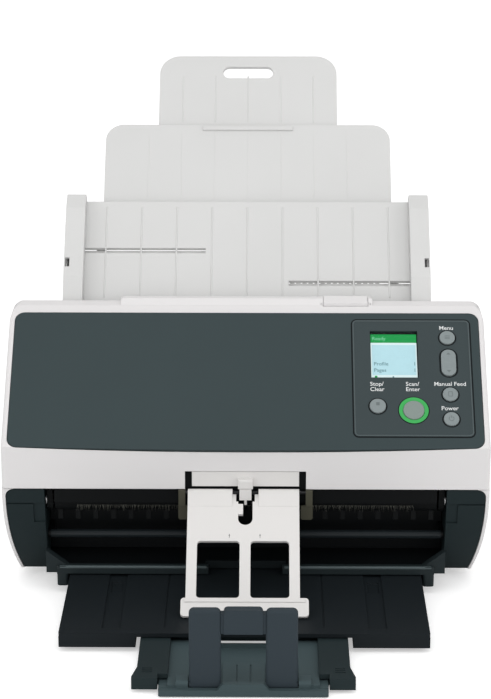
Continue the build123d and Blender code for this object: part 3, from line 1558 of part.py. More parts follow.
def build_pieces():
    pieces = {
        "side_shell_left": side_shell_left(),
        "side_shell_right": side_shell_right(),
        "side_frame_left": side_frame_left(),
        "side_frame_right": side_frame_right(),
        "hinge_pins": both_sides(hinge_pin()),
        "rear_cover": rear_cover(),
        "base_pan": base_pan(),
        "rubber_feet": rubber_feet(),
        "exit_frame": exit_frame(),
        "base_sheet_guide": base_sheet_guide(),
        "base_scan_glass": base_scan_glass(),
        "base_image_sensor": base_image_sensor(),
        "drive_motor": drive_motor(),
        "motor_pulley": motor_pulley(),
        "drive_belt": drive_belt(),
        "pick_shaft": drive_shaft(pick_axis, pick_radius),
        "pick_tyres": tyres(pick_axis, pick_radius, drive_shaft_radius, pick_places),
        "feed_shaft": drive_shaft(feed_axis, feed_radius),
        "feed_tyres": tyres(feed_axis, feed_radius, drive_shaft_radius, feed_places),
        "exit_shaft": drive_shaft(exit_axis, exit_radius),
        "exit_tyres": tyres(exit_axis, exit_radius, drive_shaft_radius, exit_places),
        "circuit_board": circuit_board(),
        "dc_inlet": dc_inlet(),
        "usb_port": usb_port(),
        "cover_shell": cover_shell(),
        "front_panel": front_panel(),
        "control_plate": control_plate(),
        "lcd_module": lcd_module(),
        "lcd_glass": lcd_glass(),
        "switch_board": switch_board(),
        "scan_ring": scan_ring(),
        "rocker_button": rocker_button(),
        "cover_lever": cover_lever(),
        "latch_tab": latch_tab(),
        "guide_brackets": guide_brackets(),
        "guide_rod": guide_rod(),
        "stacker_guide": stacker_guide(),
        "cover_sheet_guide": cover_sheet_guide(),
        "cover_scan_glass": cover_scan_glass(),
        "cover_image_sensor": cover_image_sensor(),
        "brake_roller": idler(brake_axis, brake_radius, pick_places),
        "feed_idlers": idler(feed_idler_axis, feed_idler_radius, feed_places),
        "exit_idlers": idler(exit_idler_axis, exit_idler_radius, exit_places),
        "tray": tray(),
        "tray_extension": tray_extension(),
        "stopper_carriage": stopper_carriage(),
        "stopper": stopper(),
        "chute_plate": chute_plate(),
        "side_guide_left": side_guide_left(),
        "side_guide_right": side_guide_right(),
        "guide_pinion": guide_pinion(),
        "chute_extension_1": chute_extension_1(),
        "chute_extension_2": chute_extension_2(),
    }
    for name in round_buttons:
        pieces[name] = round_button(name)
    return pieces


def middle_y(pieces):
    """The Y of the middle of everything, where the origin goes when the parts are written."""
    boxes = [piece.bounding_box() for piece in pieces.values()]
    return (min(box.min.Y for box in boxes) + max(box.max.Y for box in boxes)) / 2


pieces = build_pieces()
origin_y = middle_y(pieces)
os.makedirs("parts", exist_ok=True)
for name, piece in pieces.items():
    export_step(Pos(0, -origin_y, 0) * piece, f"parts/{name}.step")
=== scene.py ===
import math

import bmesh
import bpy
from mathutils import Matrix, Vector


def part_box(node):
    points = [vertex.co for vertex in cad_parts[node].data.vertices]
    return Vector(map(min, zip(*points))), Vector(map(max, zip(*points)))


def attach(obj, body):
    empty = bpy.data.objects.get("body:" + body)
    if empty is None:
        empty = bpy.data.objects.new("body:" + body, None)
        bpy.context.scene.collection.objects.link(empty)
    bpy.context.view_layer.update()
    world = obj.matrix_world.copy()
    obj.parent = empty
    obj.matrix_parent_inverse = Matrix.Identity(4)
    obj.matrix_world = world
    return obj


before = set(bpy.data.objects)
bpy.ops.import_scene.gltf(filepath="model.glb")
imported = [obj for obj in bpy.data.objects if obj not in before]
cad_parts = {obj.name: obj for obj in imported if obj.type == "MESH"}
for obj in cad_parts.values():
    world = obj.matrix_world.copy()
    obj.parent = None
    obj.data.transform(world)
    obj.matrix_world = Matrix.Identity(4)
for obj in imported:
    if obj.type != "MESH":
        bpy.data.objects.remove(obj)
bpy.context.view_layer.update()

# Looks of a desktop document scanner: finishes, camera, light and the fine details.
# Places are local millimetres, as in the part's own source: the band's front face is y = 0.
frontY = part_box("cover_shell")[0][1]
millimetre = 0.001


def place(x, y, z):
    return Vector((x / 1000, frontY + y / 1000, z / 1000))


def moved(x, y, z):
    # a shift given in millimetres
    return Matrix.Translation(Vector((x, y, z)) * millimetre)


def added(name, data):
    thing = bpy.data.objects.new(name, data)
    bpy.context.scene.collection.objects.link(thing)
    return thing


def daylight(red, green, blue):
    # a screen colour, 0 to 255, as linear light
    def channel(value):
        share = value / 255
        return share / 12.92 if share <= 0.04045 else ((share + 0.055) / 1.055) ** 2.4
    return (channel(red), channel(green), channel(blue), 1)


# Finishes
plastics = {
    # screen colour, roughness, grain width in mm, grain depth in mm, patchiness, shine where it is low
    "shellWhite": {"colour": (221, 219, 219), "rough": 0.42, "grain": 0.35, "depth": 0.010, "patch": 0.03},
    "guideWhite": {"colour": (221, 219, 217), "rough": 0.38, "grain": 0.30, "depth": 0.008, "patch": 0.03},
    "chuteGrey": {"colour": (209, 209, 208), "rough": 0.45, "grain": 0.35, "depth": 0.012, "patch": 0.04},
    "panelSlate": {"colour": (53, 65, 67), "rough": 0.42, "grain": 0.40, "depth": 0.012, "patch": 0.05,
                   "shine": 0.16},
    "controlSlate": {"colour": (57, 67, 69), "rough": 0.46, "grain": 0.30, "depth": 0.010, "patch": 0.05,
                     "shine": 0.16},
    "keyGrey": {"colour": (130, 139, 140), "rough": 0.46, "grain": 0.25, "depth": 0.006, "patch": 0.05},
    "scanKeyGrey": {"colour": (128, 140, 135), "rough": 0.42, "grain": 0.25, "depth": 0.006, "patch": 0.05},
    "cheekDark": {"colour": (30, 40, 42), "rough": 0.50, "grain": 0.45, "depth": 0.016, "patch": 0.08,
                  "shine": 0.12},
    # bayDark darkens deeper into the bay: painted shade for the recess behind the lip
    "bayDark": {"colour": (33, 41, 43), "rough": 0.46, "grain": 0.45, "depth": 0.014, "patch": 0.08,
                "shine": 0.16, "deep": {"colour": (12, 15, 17), "start": 1.0, "end": 8.0}},
    "pathBlack": {"colour": (13, 15, 16), "rough": 0.48, "grain": 0.45, "depth": 0.014, "patch": 0.08,
                  "shine": 0.10},
    # the tray's own dark grey, made darker still as painted shade from the body over it
    "trayDarkWithPaintedShade": {"colour": (27, 32, 35), "rough": 0.50, "grain": 0.50, "depth": 0.018, "patch": 0.08,
                 "shine": 0.10},
    "wingDark": {"colour": (36, 46, 48), "rough": 0.50, "grain": 0.50, "depth": 0.018, "patch": 0.08,
                 "shine": 0.10},
    "carriageGrey": {"colour": (64, 78, 81), "rough": 0.52, "grain": 0.50, "depth": 0.018, "patch": 0.08,
                     "shine": 0.12},
    "stopperSlate": {"colour": (50, 59, 65), "rough": 0.50, "grain": 0.45, "depth": 0.016, "patch": 0.07,
                     "shine": 0.12},
    "khaki": {"colour": (72, 71, 60), "rough": 0.50, "grain": 0.35, "depth": 0.010, "patch": 0.06,
              "shine": 0.15},
    "rollerBlack": {"colour": (28, 28, 30), "rough": 0.36, "grain": 0.30, "depth": 0.006, "patch": 0.05},
    "sensorBlack": {"colour": (16, 16, 17), "rough": 0.60, "grain": 0.60, "depth": 0.020, "patch": 0.05},
    "boardGreen": {"colour": (24, 92, 56), "rough": 0.34, "grain": 2.50, "depth": 0.020, "patch": 0.25},
    "displayInk": {"colour": (108, 150, 158), "rough": 0.40, "grain": 0.30, "depth": 0.004, "patch": 0.10},
    "markGrey": {"colour": (96, 96, 98), "rough": 0.60, "grain": 0.20, "depth": 0.004, "patch": 0.02},
    "bristle": {"colour": (116, 116, 108), "rough": 0.50, "grain": 0.20, "depth": 0.004, "patch": 0.35},
    "barDark": {"colour": (31, 37, 40), "rough": 0.42, "grain": 0.40, "depth": 0.008, "patch": 0.15,
                "shine": 0.20},
    "keyInk": {"colour": (104, 113, 114), "rough": 0.50, "grain": 0.20, "depth": 0.004, "patch": 0.02},
    # a lighter grey as painted highlight on the lip over the stacker and on the control plate's edge
    "paintedHighlightGrey": {"colour": (72, 83, 85), "rough": 0.35, "grain": 0.30, "depth": 0.004, "patch": 0.04},
    # painted shade: dark rings that stand in for the shade in the gaps round the keys and the control plate
    "gapShadeBlack": {"colour": (20, 25, 27), "rough": 0.40, "grain": 0.30, "depth": 0.004, "patch": 0.05,
                 "shine": 0.10},
    "labelWhite": {"colour": (236, 238, 238), "rough": 0.50, "grain": 0.20, "depth": 0.004, "patch": 0.02},
}
moulding = {
    # shared by all moulded plastics; patches are the scale and detail of a noise
    "glossier": 0.06, "duller": 0.08, "patches": (14, 4), "grainDetail": 2, "bump": 0.6, "refraction": 1.48,
    "shine": 0.3,
}
rounding = {"radius": 0.35, "samples": 4}  # how the light sees sharp edges, in mm
# rubber of the tyres, feet and belt, then the ground steel of the shafts
tyre = {"shades": (0.012, 0.032), "rough": 0.72, "wear": (160, 6), "grain": (2600, 2), "depth": 0.03}
turning = {"colour": (0.60, 0.60, 0.61, 1), "rough": (0.18, 0.42), "stretch": (40, 1, 1), "lines": (60, 5)}
glasses = {
    # tint in linear light, how much of it shows
    "displayGlass": ((0.01, 0.012, 0.015, 1), 0.04),
    "scanGlass": ((0.75, 0.85, 0.85, 1), 0.35),
}
smears = {"rough": (0.03, 0.10), "noise": (30, 2)}  # on both glasses
glows = {
    # screen colour, strength
    "ringGreen": ((62, 172, 88), 0.70),
    "displayPale": ((184, 224, 233), 0.72),
    "displayBright": ((222, 243, 244), 0.72),
    "displayFaint": ((120, 205, 158), 0.72),
    "displayGreen": ((6, 152, 71), 0.72),
}
# shared by all that glows: how uneven the light is, and how much of its colour the surface has
lantern = {"uneven": 0.05, "noise": (220, 1), "body": 0.3, "rough": 0.35, "shine": 0.2}


def startMaterial(name):
    material = bpy.data.materials.new(name)
    material.use_nodes = True
    tree = material.node_tree
    where = tree.nodes.new("ShaderNodeTexCoord").outputs["Object"]
    return material, tree, tree.nodes["Principled BSDF"], where


def noise(tree, where, scale, detail):
    node = tree.nodes.new("ShaderNodeTexNoise")
    node.inputs["Scale"].default_value = scale
    node.inputs["Detail"].default_value = detail
    tree.links.new(where, node.inputs["Vector"])
    return node.outputs["Fac"]


def spread(tree, source, low, high, target):
    # takes a value from 0 to 1 to a value between two limits
    node = tree.nodes.new("ShaderNodeMapRange")
    node.inputs["To Min"].default_value = low
    node.inputs["To Max"].default_value = high
    tree.links.new(source, node.inputs["Value"])
    tree.links.new(node.outputs["Result"], target)


def softEdges(tree):
    node = tree.nodes.new("ShaderNodeBevel")
    node.samples = rounding["samples"]
    node.inputs["Radius"].default_value = rounding["radius"] * millimetre
    return node.outputs["Normal"]


def roughen(tree, shader, grain, depth, strength):
    # a fine grain over the softened edges
    bump = tree.nodes.new("ShaderNodeBump")
    bump.inputs["Strength"].default_value = strength
    bump.inputs["Distance"].default_value = depth * millimetre
    tree.links.new(grain, bump.inputs["Height"])
    tree.links.new(softEdges(tree), bump.inputs["Normal"])
    tree.links.new(bump.outputs["Normal"], shader.inputs["Normal"])


def deepen(tree, where, tint, look):
    # painted shade: the colour grows darker from one depth to another, for the shade deep in the bay
    axes = tree.nodes.new("ShaderNodeSeparateXYZ")
    tree.links.new(where, axes.inputs["Vector"])
    share = tree.nodes.new("ShaderNodeMapRange")
    share.inputs["From Min"].default_value = place(0, look["start"], 0).y
    share.inputs["From Max"].default_value = place(0, look["end"], 0).y
    tree.links.new(axes.outputs["Y"], share.inputs["Value"])
    mix = tree.nodes.new("ShaderNodeMix")
    mix.data_type = "RGBA"
    tree.links.new(share.outputs["Result"], mix.inputs["Factor"])
    tree.links.new(tint, mix.inputs["A"])
    mix.inputs["B"].default_value = daylight(*look["colour"])
    return mix.outputs["Result"]


def mouldedPlastic(name, look):
    # a spark-eroded grain, slightly uneven gloss and colour, edges that catch light
    material, tree, shader, where = startMaterial(name)
    patch = look["patch"]
    colour = daylight(*look["colour"])[:3]
    mix = tree.nodes.new("ShaderNodeMix")
    mix.data_type = "RGBA"
    mix.inputs["A"].default_value = [channel * (1 - patch) for channel in colour] + [1]
    mix.inputs["B"].default_value = [min(1, channel * (1 + patch)) for channel in colour] + [1]
    tree.links.new(noise(tree, where, *moulding["patches"]), mix.inputs["Factor"])
    tint = mix.outputs["Result"]
    # painted shade, darker with depth, where a finish asks for it
    if "deep" in look:
        tint = deepen(tree, where, tint, look["deep"])
    tree.links.new(tint, shader.inputs["Base Color"])
    grain = noise(tree, where, 1 / (look["grain"] * millimetre), moulding["grainDetail"])
    spread(tree, grain, look["rough"] - moulding["glossier"], look["rough"] + moulding["duller"],
           shader.inputs["Roughness"])
    roughen(tree, shader, grain, look["depth"], moulding["bump"])
    shader.inputs["IOR"].default_value = moulding["refraction"]
    shader.inputs["Specular IOR Level"].default_value = look.get("shine", moulding["shine"])
    return material


def rubber(name):
    # matt black rubber with a fine rubbed surface
    material, tree, shader, where = startMaterial(name)
    spread(tree, noise(tree, where, *tyre["wear"]), *tyre["shades"], shader.inputs["Base Color"])
    shader.inputs["Roughness"].default_value = tyre["rough"]
    roughen(tree, shader, noise(tree, where, *tyre["grain"]), tyre["depth"], 1)
    return material


def turnedSteel(name):
    # fine lines round the shaft and a streaked gloss
    material, tree, shader, where = startMaterial(name)
    stretch = tree.nodes.new("ShaderNodeMapping")
    stretch.inputs["Scale"].default_value = turning["stretch"]
    tree.links.new(where, stretch.inputs["Vector"])
    lines = noise(tree, stretch.outputs["Vector"], *turning["lines"])
    spread(tree, lines, *turning["rough"], shader.inputs["Roughness"])
    shader.inputs["Base Color"].default_value = turning["colour"]
    shader.inputs["Metallic"].default_value = 1
    tree.links.new(softEdges(tree), shader.inputs["Normal"])
    return material


def clearGlass(name, tint, alpha):
    # almost clear, with faint smears
    material, tree, shader, where = startMaterial(name)
    shader.inputs["Base Color"].default_value = tint
    shader.inputs["Alpha"].default_value = alpha
    spread(tree, noise(tree, where, *smears["noise"]), *smears["rough"], shader.inputs["Roughness"])
    return material


def glowing(name, colour, strength):
    # lit from inside, such as the ring round the scan key and the display's picture
    material, tree, shader, where = startMaterial(name)
    uneven = noise(tree, where, *lantern["noise"])
    spread(tree, uneven, strength * (1 - lantern["uneven"]), strength * (1 + lantern["uneven"]),
           shader.inputs["Emission Strength"])
    light = daylight(*colour)
    shader.inputs["Base Color"].default_value = [channel * lantern["body"] for channel in light[:3]] + [1]
    shader.inputs["Emission Color"].default_value = light
    shader.inputs["Roughness"].default_value = lantern["rough"]
    shader.inputs["Specular IOR Level"].default_value = lantern["shine"]
    return material


finishes = {"rubber": rubber("rubber"), "steel": turnedSteel("steel")}
finishes.update({name: mouldedPlastic(name, look) for name, look in plastics.items()})
finishes.update({name: clearGlass(name, *look) for name, look in glasses.items()})
finishes.update({name: glowing(name, *look) for name, look in glows.items()})

wears = {
    # finish: the pieces that have it
    "shellWhite": ["side_shell_left", "side_shell_right", "rear_cover", "cover_shell", "cover_lever"],
    "guideWhite": ["latch_tab", "stacker_guide"],
    "chuteGrey": ["chute_plate", "side_guide_left", "side_guide_right", "chute_extension_1",
                  "chute_extension_2", "guide_pinion"],
    "panelSlate": ["front_panel"],
    "controlSlate": ["control_plate"],
    "keyGrey": ["menu_button", "manual_feed_button", "power_button", "stop_button", "rocker_button"],
    "scanKeyGrey": ["scan_button"],
    "cheekDark": ["side_frame_left", "side_frame_right"],
    "bayDark": ["exit_frame"],
    "pathBlack": ["base_sheet_guide", "cover_sheet_guide", "base_pan"],
    # the tray's colour carries painted shade from the body over it
    "trayDarkWithPaintedShade": ["tray"],
    "wingDark": ["tray_extension"],
    "carriageGrey": ["stopper_carriage"],
    "stopperSlate": ["stopper"],
    "khaki": ["guide_brackets"],
    "sensorBlack": ["base_image_sensor", "cover_image_sensor", "dc_inlet", "lcd_module"],
    "rollerBlack": ["brake_roller", "feed_idlers", "exit_idlers", "motor_pulley", "guide_rod"],
    "boardGreen": ["circuit_board", "switch_board"],
    "rubber": ["pick_tyres", "feed_tyres", "exit_tyres", "rubber_feet", "drive_belt"],
    "steel": ["pick_shaft", "feed_shaft", "exit_shaft", "hinge_pins", "drive_motor", "usb_port"],
    "displayGlass": ["lcd_glass"],
    "scanGlass": ["base_scan_glass", "cover_scan_glass"],
    "ringGreen": ["scan_ring"],
}


def wear(piece, finish):
    piece.data.materials.clear()
    piece.data.materials.append(finishes[finish])


for finish, nodes in wears.items():
    for node in nodes:
        wear(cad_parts[node], finish)
print("finishes on", sum(len(nodes) for nodes in wears.values()), "pieces")

# Fine details, each on the body that carries it
# top edges of the front panel and of the paper path in mm, their lean in degrees, the control plate's face
panel = {"topY": 74.03, "topZ": 158.38, "angle": 40.8, "face": 0.7}
path = {"topY": 93.0, "topZ": 152.0, "angle": 47.0}
printLift = 0.02  # printed words and marks stand this far off their face, in mm


def slope(lean):
    # a leaning plane: x across, y up the slope, z out of the face
    lowered = Matrix.Translation(place(0, lean["topY"], lean["topZ"]))
    return lowered @ Matrix.Rotation(math.radians(lean["angle"]), 4, "X")


def onPanel(across, down, level):
    return slope(panel) @ moved(across, -down, level)


def stick(name, mesh, finish, body):
    piece = added(name, mesh)
    wear(piece, finish)
    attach(piece, body)


def flatMesh(source):
    # the evaluated shape of an object as a plain mesh, and the object itself put away
    bpy.context.view_layer.update()
    shape = source.evaluated_get(bpy.context.evaluated_depsgraph_get())
    mesh = bpy.data.meshes.new_from_object(shape)
    bpy.data.objects.remove(source)
    return mesh


def meshOf(shape, name):
    # a drawn shape as a mesh
    mesh = bpy.data.meshes.new(name)
    shape.to_mesh(mesh)
    shape.free()
    return mesh


labels = {
    # words, left edge across the panel, middle down the panel, size in mm
    "menuLabel": ("Menu", 121.3, 11.2, 4.0),
    "feedLabel": ("Manual Feed", 116.7, 52.0, 3.95),
    "powerLabel": ("Power", 120.6, 69.4, 4.0),
    "stopLabel": ("Stop/\nClear", 77.0, 54.0, 4.0),
    "scanLabel": ("Scan/\nEnter", 99.1, 54.0, 4.0),
}
typeface = {"thick": 0.02, "bolder": 0.03, "lineSpace": 0.95, "steps": 3}  # in mm; steps along a curve


def printed(name, words, left, down, size, height, finish):
    # thin printed words, standing on the panel's face
    letters = bpy.data.curves.new(name, "FONT")
    letters.body = words
    letters.size = size * millimetre
    letters.extrude = typeface["thick"] * millimetre
    letters.offset = typeface["bolder"] * millimetre
    letters.align_y = "CENTER"
    letters.space_line = typeface["lineSpace"]
    letters.resolution_u = typeface["steps"]
    mesh = flatMesh(added(name, letters))
    mesh.transform(onPanel(left, down, height))
    stick(name, mesh, finish, "cover")


for name, (words, left, down, size) in labels.items():
    printed(name, words, left, down, size, panel["face"] + printLift, "labelWhite")
print("key labels are printed")

keyMiddles = {
    # middles of the keys and of the control plate: across and down the panel, in mm
    "menu": (126.2, 18.5), "rocker": (126.4, 36.8), "feed": (126.6, 59.6), "power": (126.6, 77.1),
    "stop": (81.5, 68.0), "scan": (103.6, 70.9), "plate": (103.5, 47.3),
}
# dark rims as painted shade in the gaps round the keys and the control plate
rims = {
    # what it goes round, half lengths of its straight runs, inner and outer corner radius in mm
    "menuRim": ("menu", (0, 0), (5.0, 5.9)),
    "feedRim": ("feed", (0, 0), (4.95, 5.85)),
    "powerRim": ("power", (0, 0), (4.95, 5.85)),
    "stopRim": ("stop", (0, 0), (5.2, 6.1)),
    "scanRim": ("scan", (0, 0), (8.9, 9.9)),
    "rockerRim": ("rocker", (0, 4.8), (5.15, 5.95)),
    "plateRim": ("plate", (33.8, 38.9), (2.95, 4.05)),
}
rimShape = {"low": -0.3, "high": 0.82, "plateHigh": 0.5, "soft": 0.25, "steps": 48}
# a lighter lip inside the plate's rim: a painted highlight on the plate's edge
lipShape = {"width": 1.0, "low": 0.55, "high": 0.95, "soft": 0.2}


def ringMesh(profile, middle, straight, steps):
    # a ring swept from its profile (radius, height), drawn out where straight lengths are given
    ring = bmesh.new()
    rows = []
    for step in range(steps):
        angle = 2 * math.pi * (step + 0.5) / steps
        across, along = math.cos(angle), math.sin(angle)
        shift = Vector((math.copysign(straight[0], across), math.copysign(straight[1], along), 0))
        corners = [Vector((radius * across, radius * along, height)) + shift for radius, height in profile]
        rows.append([ring.verts.new(corner * millimetre) for corner in corners])
    for here, after in zip(rows, rows[1:] + rows[:1]):
        for i in range(len(profile)):
            k = (i + 1) % len(profile)
            ring.faces.new((here[i], after[i], after[k], here[k]))
    bmesh.ops.recalc_face_normals(ring, faces=ring.faces)
    mesh = meshOf(ring, "ring")
    mesh.transform(onPanel(*middle, 0))
    return mesh


def rimProfile(inner, outer, low, high, soft):
    return [(inner, low), (outer, low), (outer, high - soft), (outer - soft, high), (inner + soft, high),
            (inner, high - soft)]


def addRims(table, shape, lip):
    for name, (key, straight, (inner, outer)) in table.items():
        high = shape["plateHigh"] if key == "plate" else shape["high"]
        profile = rimProfile(inner, outer, shape["low"], high, shape["soft"])
        ring = ringMesh(profile, keyMiddles[key], straight, shape["steps"])
        # dark ring: painted shade for the gap round this key or plate
        stick(name, ring, "gapShadeBlack", "cover")
    key, straight, (inner, outer) = table["plateRim"]
    profile = rimProfile(inner - lip["width"], inner, lip["low"], lip["high"], lip["soft"])
    ring = ringMesh(profile, keyMiddles[key], straight, shape["steps"])
    # lighter grey as painted highlight on the plate's edge
    stick("plateLip", ring, "paintedHighlightGrey", "cover")


addRims(rims, rimShape, lipShape)
print("the keys have their dark rims")


def prismMesh(outlines, low, high, matrix):
    # flat shapes drawn as outlines in mm and raised between two heights
    shape = bmesh.new()
    for outline in outlines:
        under = [shape.verts.new(Vector((x, y, low)) * millimetre) for x, y in outline]
        over = [shape.verts.new(Vector((x, y, high)) * millimetre) for x, y in outline]
        shape.faces.new(over)
        shape.faces.new(under[::-1])
        for i in range(len(outline)):
            k = (i + 1) % len(outline)
            shape.faces.new((under[i], under[k], over[k], over[i]))
    bmesh.ops.recalc_face_normals(shape, faces=shape.faces)
    mesh = meshOf(shape, "prism")
    mesh.transform(matrix)
    if matrix.determinant() < 0:  # a mirrored place turns the faces inward
        mesh.flip_normals()
    return mesh


def rectangle(x0, x1, y0, y1):
    return [(x0, y0), (x1, y0), (x1, y1), (x0, y1)]


def arcStroke(radius, width, start, stop, steps=16):
    # a bent bar between two angles in degrees
    angles = [math.radians(start + (stop - start) * i / steps) for i in range(steps + 1)]
    outer, inner = [[(far * math.cos(a), far * math.sin(a)) for a in angles]
                    for far in (radius + width / 2, radius - width / 2)]
    return [[outer[i], outer[i + 1], inner[i + 1], inner[i]] for i in range(steps)]


keyMarks = {
    # key, its body, outlines in mm round the key's middle
    "menuMark": ("menu", "menu_key", [rectangle(-1.6, 1.6, y - 0.18, y + 0.18) for y in (-1.0, 0, 1.0)]),
    "feedMark": ("feed", "manual_feed_key",
                 [rectangle(-1.3, -1.0, -1.7, 1.7), rectangle(1.0, 1.3, -1.7, 1.7),
                  rectangle(-1.0, 1.0, 1.4, 1.7), rectangle(-1.0, 1.0, -1.7, -1.4)]),
    "powerMark": ("power", "power_key",
                  arcStroke(1.5, 0.35, 125, 415) + [rectangle(-0.18, 0.18, 0.5, 2.1)]),
    "stopMark": ("stop", "stop_key", [rectangle(-1.1, 1.1, 0.2, 2.4)]),
    "rockerMark": ("rocker", "rocker_key",
                   [[(-1.3, 5.7), (1.3, 5.7), (0, 7.2)], [(-1.3, -5.7), (0, -7.2), (1.3, -5.7)]]),
}
keyTop = 1.7  # height of the keys over the panel, in mm
markRelief = (-0.02, 0.03)  # below and above the face that carries a mark, in mm


def markKeys(table, level):
    for name, (key, body, outlines) in table.items():
        mark = prismMesh(outlines, *markRelief, onPanel(*keyMiddles[key], level))
        stick(name, mark, "keyInk", body)


markKeys(keyMarks, keyTop)
print("the keys carry their marks")

display = {
    # the picture on the display: across and down the panel in mm
    "left": 78.1, "right": 106.9, "top": 14.7, "bottom": 47.0, "level": -1.28,
    "headerBottom": 20.9, "footerTop": 44.4, "insetSide": 0.7, "insetTop": 1.6, "footMargin": 0.5,
    "mark": (2.2, 3.8), "dash": (13.2, 14.2), "dashTop": 0.9,
    "fieldThick": 0.02, "barThick": 0.03, "markThick": 0.04,
    "wordSize": 3.5, "title": ("Ready", 0.9, 3.2), "titleLift": 0.06, "wordLift": 0.05,
    "rows": {"displayRowOne": ("Profile", 36.4), "displayRowTwo": ("Pages", 41.0)},
    "rowIndent": 1.7, "value": "1", "valueIndent": 2.4,
}
tileCorner = 0.15  # mm


def tile(x0, x1, down0, down1, level, thickness):
    # a thin plate with softened corners on the display
    plate = bmesh.new()
    bmesh.ops.create_cube(plate, size=1)
    size = Vector((x1 - x0, down1 - down0, thickness)) * millimetre
    middle = moved((x0 + x1) / 2, -(down0 + down1) / 2, level + thickness / 2)
    bmesh.ops.transform(plate, matrix=middle @ Matrix.Diagonal((*size, 1)), verts=plate.verts)
    corners = [edge for edge in plate.edges
               if abs((edge.verts[0].co - edge.verts[1].co).z) > 0.5 * thickness * millimetre]
    bmesh.ops.bevel(plate, geom=corners, offset=tileCorner * millimetre, segments=2, affect="EDGES")
    mesh = meshOf(plate, "tile")
    mesh.transform(slope(panel))
    return mesh


def displayPicture(look):
    left, right, level, side = look["left"], look["right"], look["level"], look["insetSide"]
    head, foot, bottom, margin = look["headerBottom"], look["footerTop"], look["bottom"], look["footMargin"]
    mark, dash = [[left + end for end in look[name]] for name in ("mark", "dash")]
    tiles = {
        "displayHeader": ((left, right, look["top"], head), "barThick", "displayGreen"),
        "displayField": ((left, right, head, bottom), "fieldThick", "displayBright"),
        "displayInset": ((left + side, right - side, head + look["insetTop"], foot), "barThick",
                         "displayPale"),
        "displayMark": ((*mark, foot + margin, bottom - margin), "markThick", "displayGreen"),
        "displayDash": ((*dash, foot + look["dashTop"], bottom - margin), "markThick", "displayInk"),
    }
    for name, (box, thickness, finish) in tiles.items():
        stick(name, tile(*box, level, look[thickness]), finish, "cover")

    def write(name, words, across, down, lift, finish):
        printed(name, words, across, down, look["wordSize"], level + lift, finish)

    for name, (words, down) in look["rows"].items():
        write(name, words, left + look["rowIndent"], down, look["wordLift"], "displayInk")
        write(name + "Value", look["value"], right - look["valueIndent"], down, look["wordLift"],
              "displayInk")
    words, indent, drop = look["title"]
    write("displayWord", words, left + indent, look["top"] + drop, look["titleLift"], "displayFaint")


displayPicture(display)
print("the display shows its picture")

guidePlate = {
    # its hinge axis, its fall in degrees, its sides and the height of its face over the axis
    "axisY": 0.2, "axisZ": 65.8, "fall": 36.8, "left": -35.4, "right": 33.0, "middleGap": 8.0, "face": -0.2,
    # section of the cap over its top edge: down the plate and out of its face
    "cap": [(-1.9, -0.3), (-1.7, 1.4), (-1.1, 2.0), (0.6, 2.3), (10.0, -0.12), (10.0, -0.3)],
    # arrows: across, then down the plate to the tip, the neck and the end of the bar
    "arrows": (-9.6, 9.0), "tip": 29.2, "neck": 30.6, "end": 32.2, "headHalf": 0.45, "barHalf": 0.14,
}


def onGuide(plate):
    # x across, y down the plate, z out of its face
    return (Matrix.Translation(place(0, plate["axisY"], plate["axisZ"]))
            @ Matrix.Rotation(math.radians(plate["fall"]), 4, "X") @ Matrix.Diagonal((1, -1, 1, 1)))


def sideways(matrix):
    # the outline's x and y become lengthwise y and z, and its height becomes x
    return matrix @ Matrix(((0, 0, 1, 0), (1, 0, 0, 0), (0, 1, 0, 0), (0, 0, 0, 1)))


def dressGuide(plate):
    where = onGuide(plate)
    for name, x0, x1 in (("guideCapLeft", plate["left"], -plate["middleGap"]),
                         ("guideCapRight", plate["middleGap"], plate["right"])):
        cap = prismMesh([plate["cap"]], x0, x1, sideways(where))
        stick(name, cap, "guideWhite", "guide")
    tip, neck, end, half, bar = [plate[name] for name in ("tip", "neck", "end", "headHalf", "barHalf")]
    heads = [[(x - half, neck), (x + half, neck), (x, tip)] for x in plate["arrows"]]
    bars = [rectangle(x - bar, x + bar, neck, end) for x in plate["arrows"]]
    below, above = markRelief
    marks = prismMesh(heads + bars, plate["face"] + below, plate["face"] + above, where)
    stick("guideMarks", marks, "markGrey", "guide")


dressGuide(guidePlate)
print("the guide plate is capped and marked")

bayTrim = {
    # bead on the lip over the stacker, in two runs beside its gap, in mm; its lighter grey is a painted
    # highlight
    "lipZ": 17.2, "lipY": -3.1, "lipRadius": 1.0, "lipRuns": [(-115.5, -24.0), (24.0, 115.5)],
    # round cross bar behind the stacker
    "barEnd": 123.0, "barY": 18.0, "barZ": 31.0, "barRadius": 2.7,
    # tabs under the brackets of the guide plate: inner and outer x, front and back y, bottom and top z
    "tabX": (34.0, 41.4), "tabY": (-0.9, 0.1), "tabZ": (48.2, 57.2),
    "tabFoot": 1.0, "tabShoulder": 1.6, "tabCrown": 0.5,
}
beadShape = {"steps": 14, "round": 0.35}  # sides, and how much of the radius is rounded at the ends


def beadMesh(x0, x1, y, z, radius):
    # a round bar across the bay with domed ends
    bead = bmesh.new()
    lying = Matrix.Translation(place((x0 + x1) / 2, y, z)) @ Matrix.Rotation(math.pi / 2, 4, "Y")
    bmesh.ops.create_cone(bead, cap_ends=True, segments=beadShape["steps"], radius1=radius * millimetre,
                          radius2=radius * millimetre, depth=(x1 - x0) * millimetre, matrix=lying)
    ends = [edge for edge in bead.edges if len(edge.link_faces) == 2
            and any(len(face.verts) > 4 for face in edge.link_faces)]
    bmesh.ops.bevel(bead, geom=ends, offset=beadShape["round"] * radius * millimetre, segments=2,
                    affect="EDGES")
    return meshOf(bead, "bead")


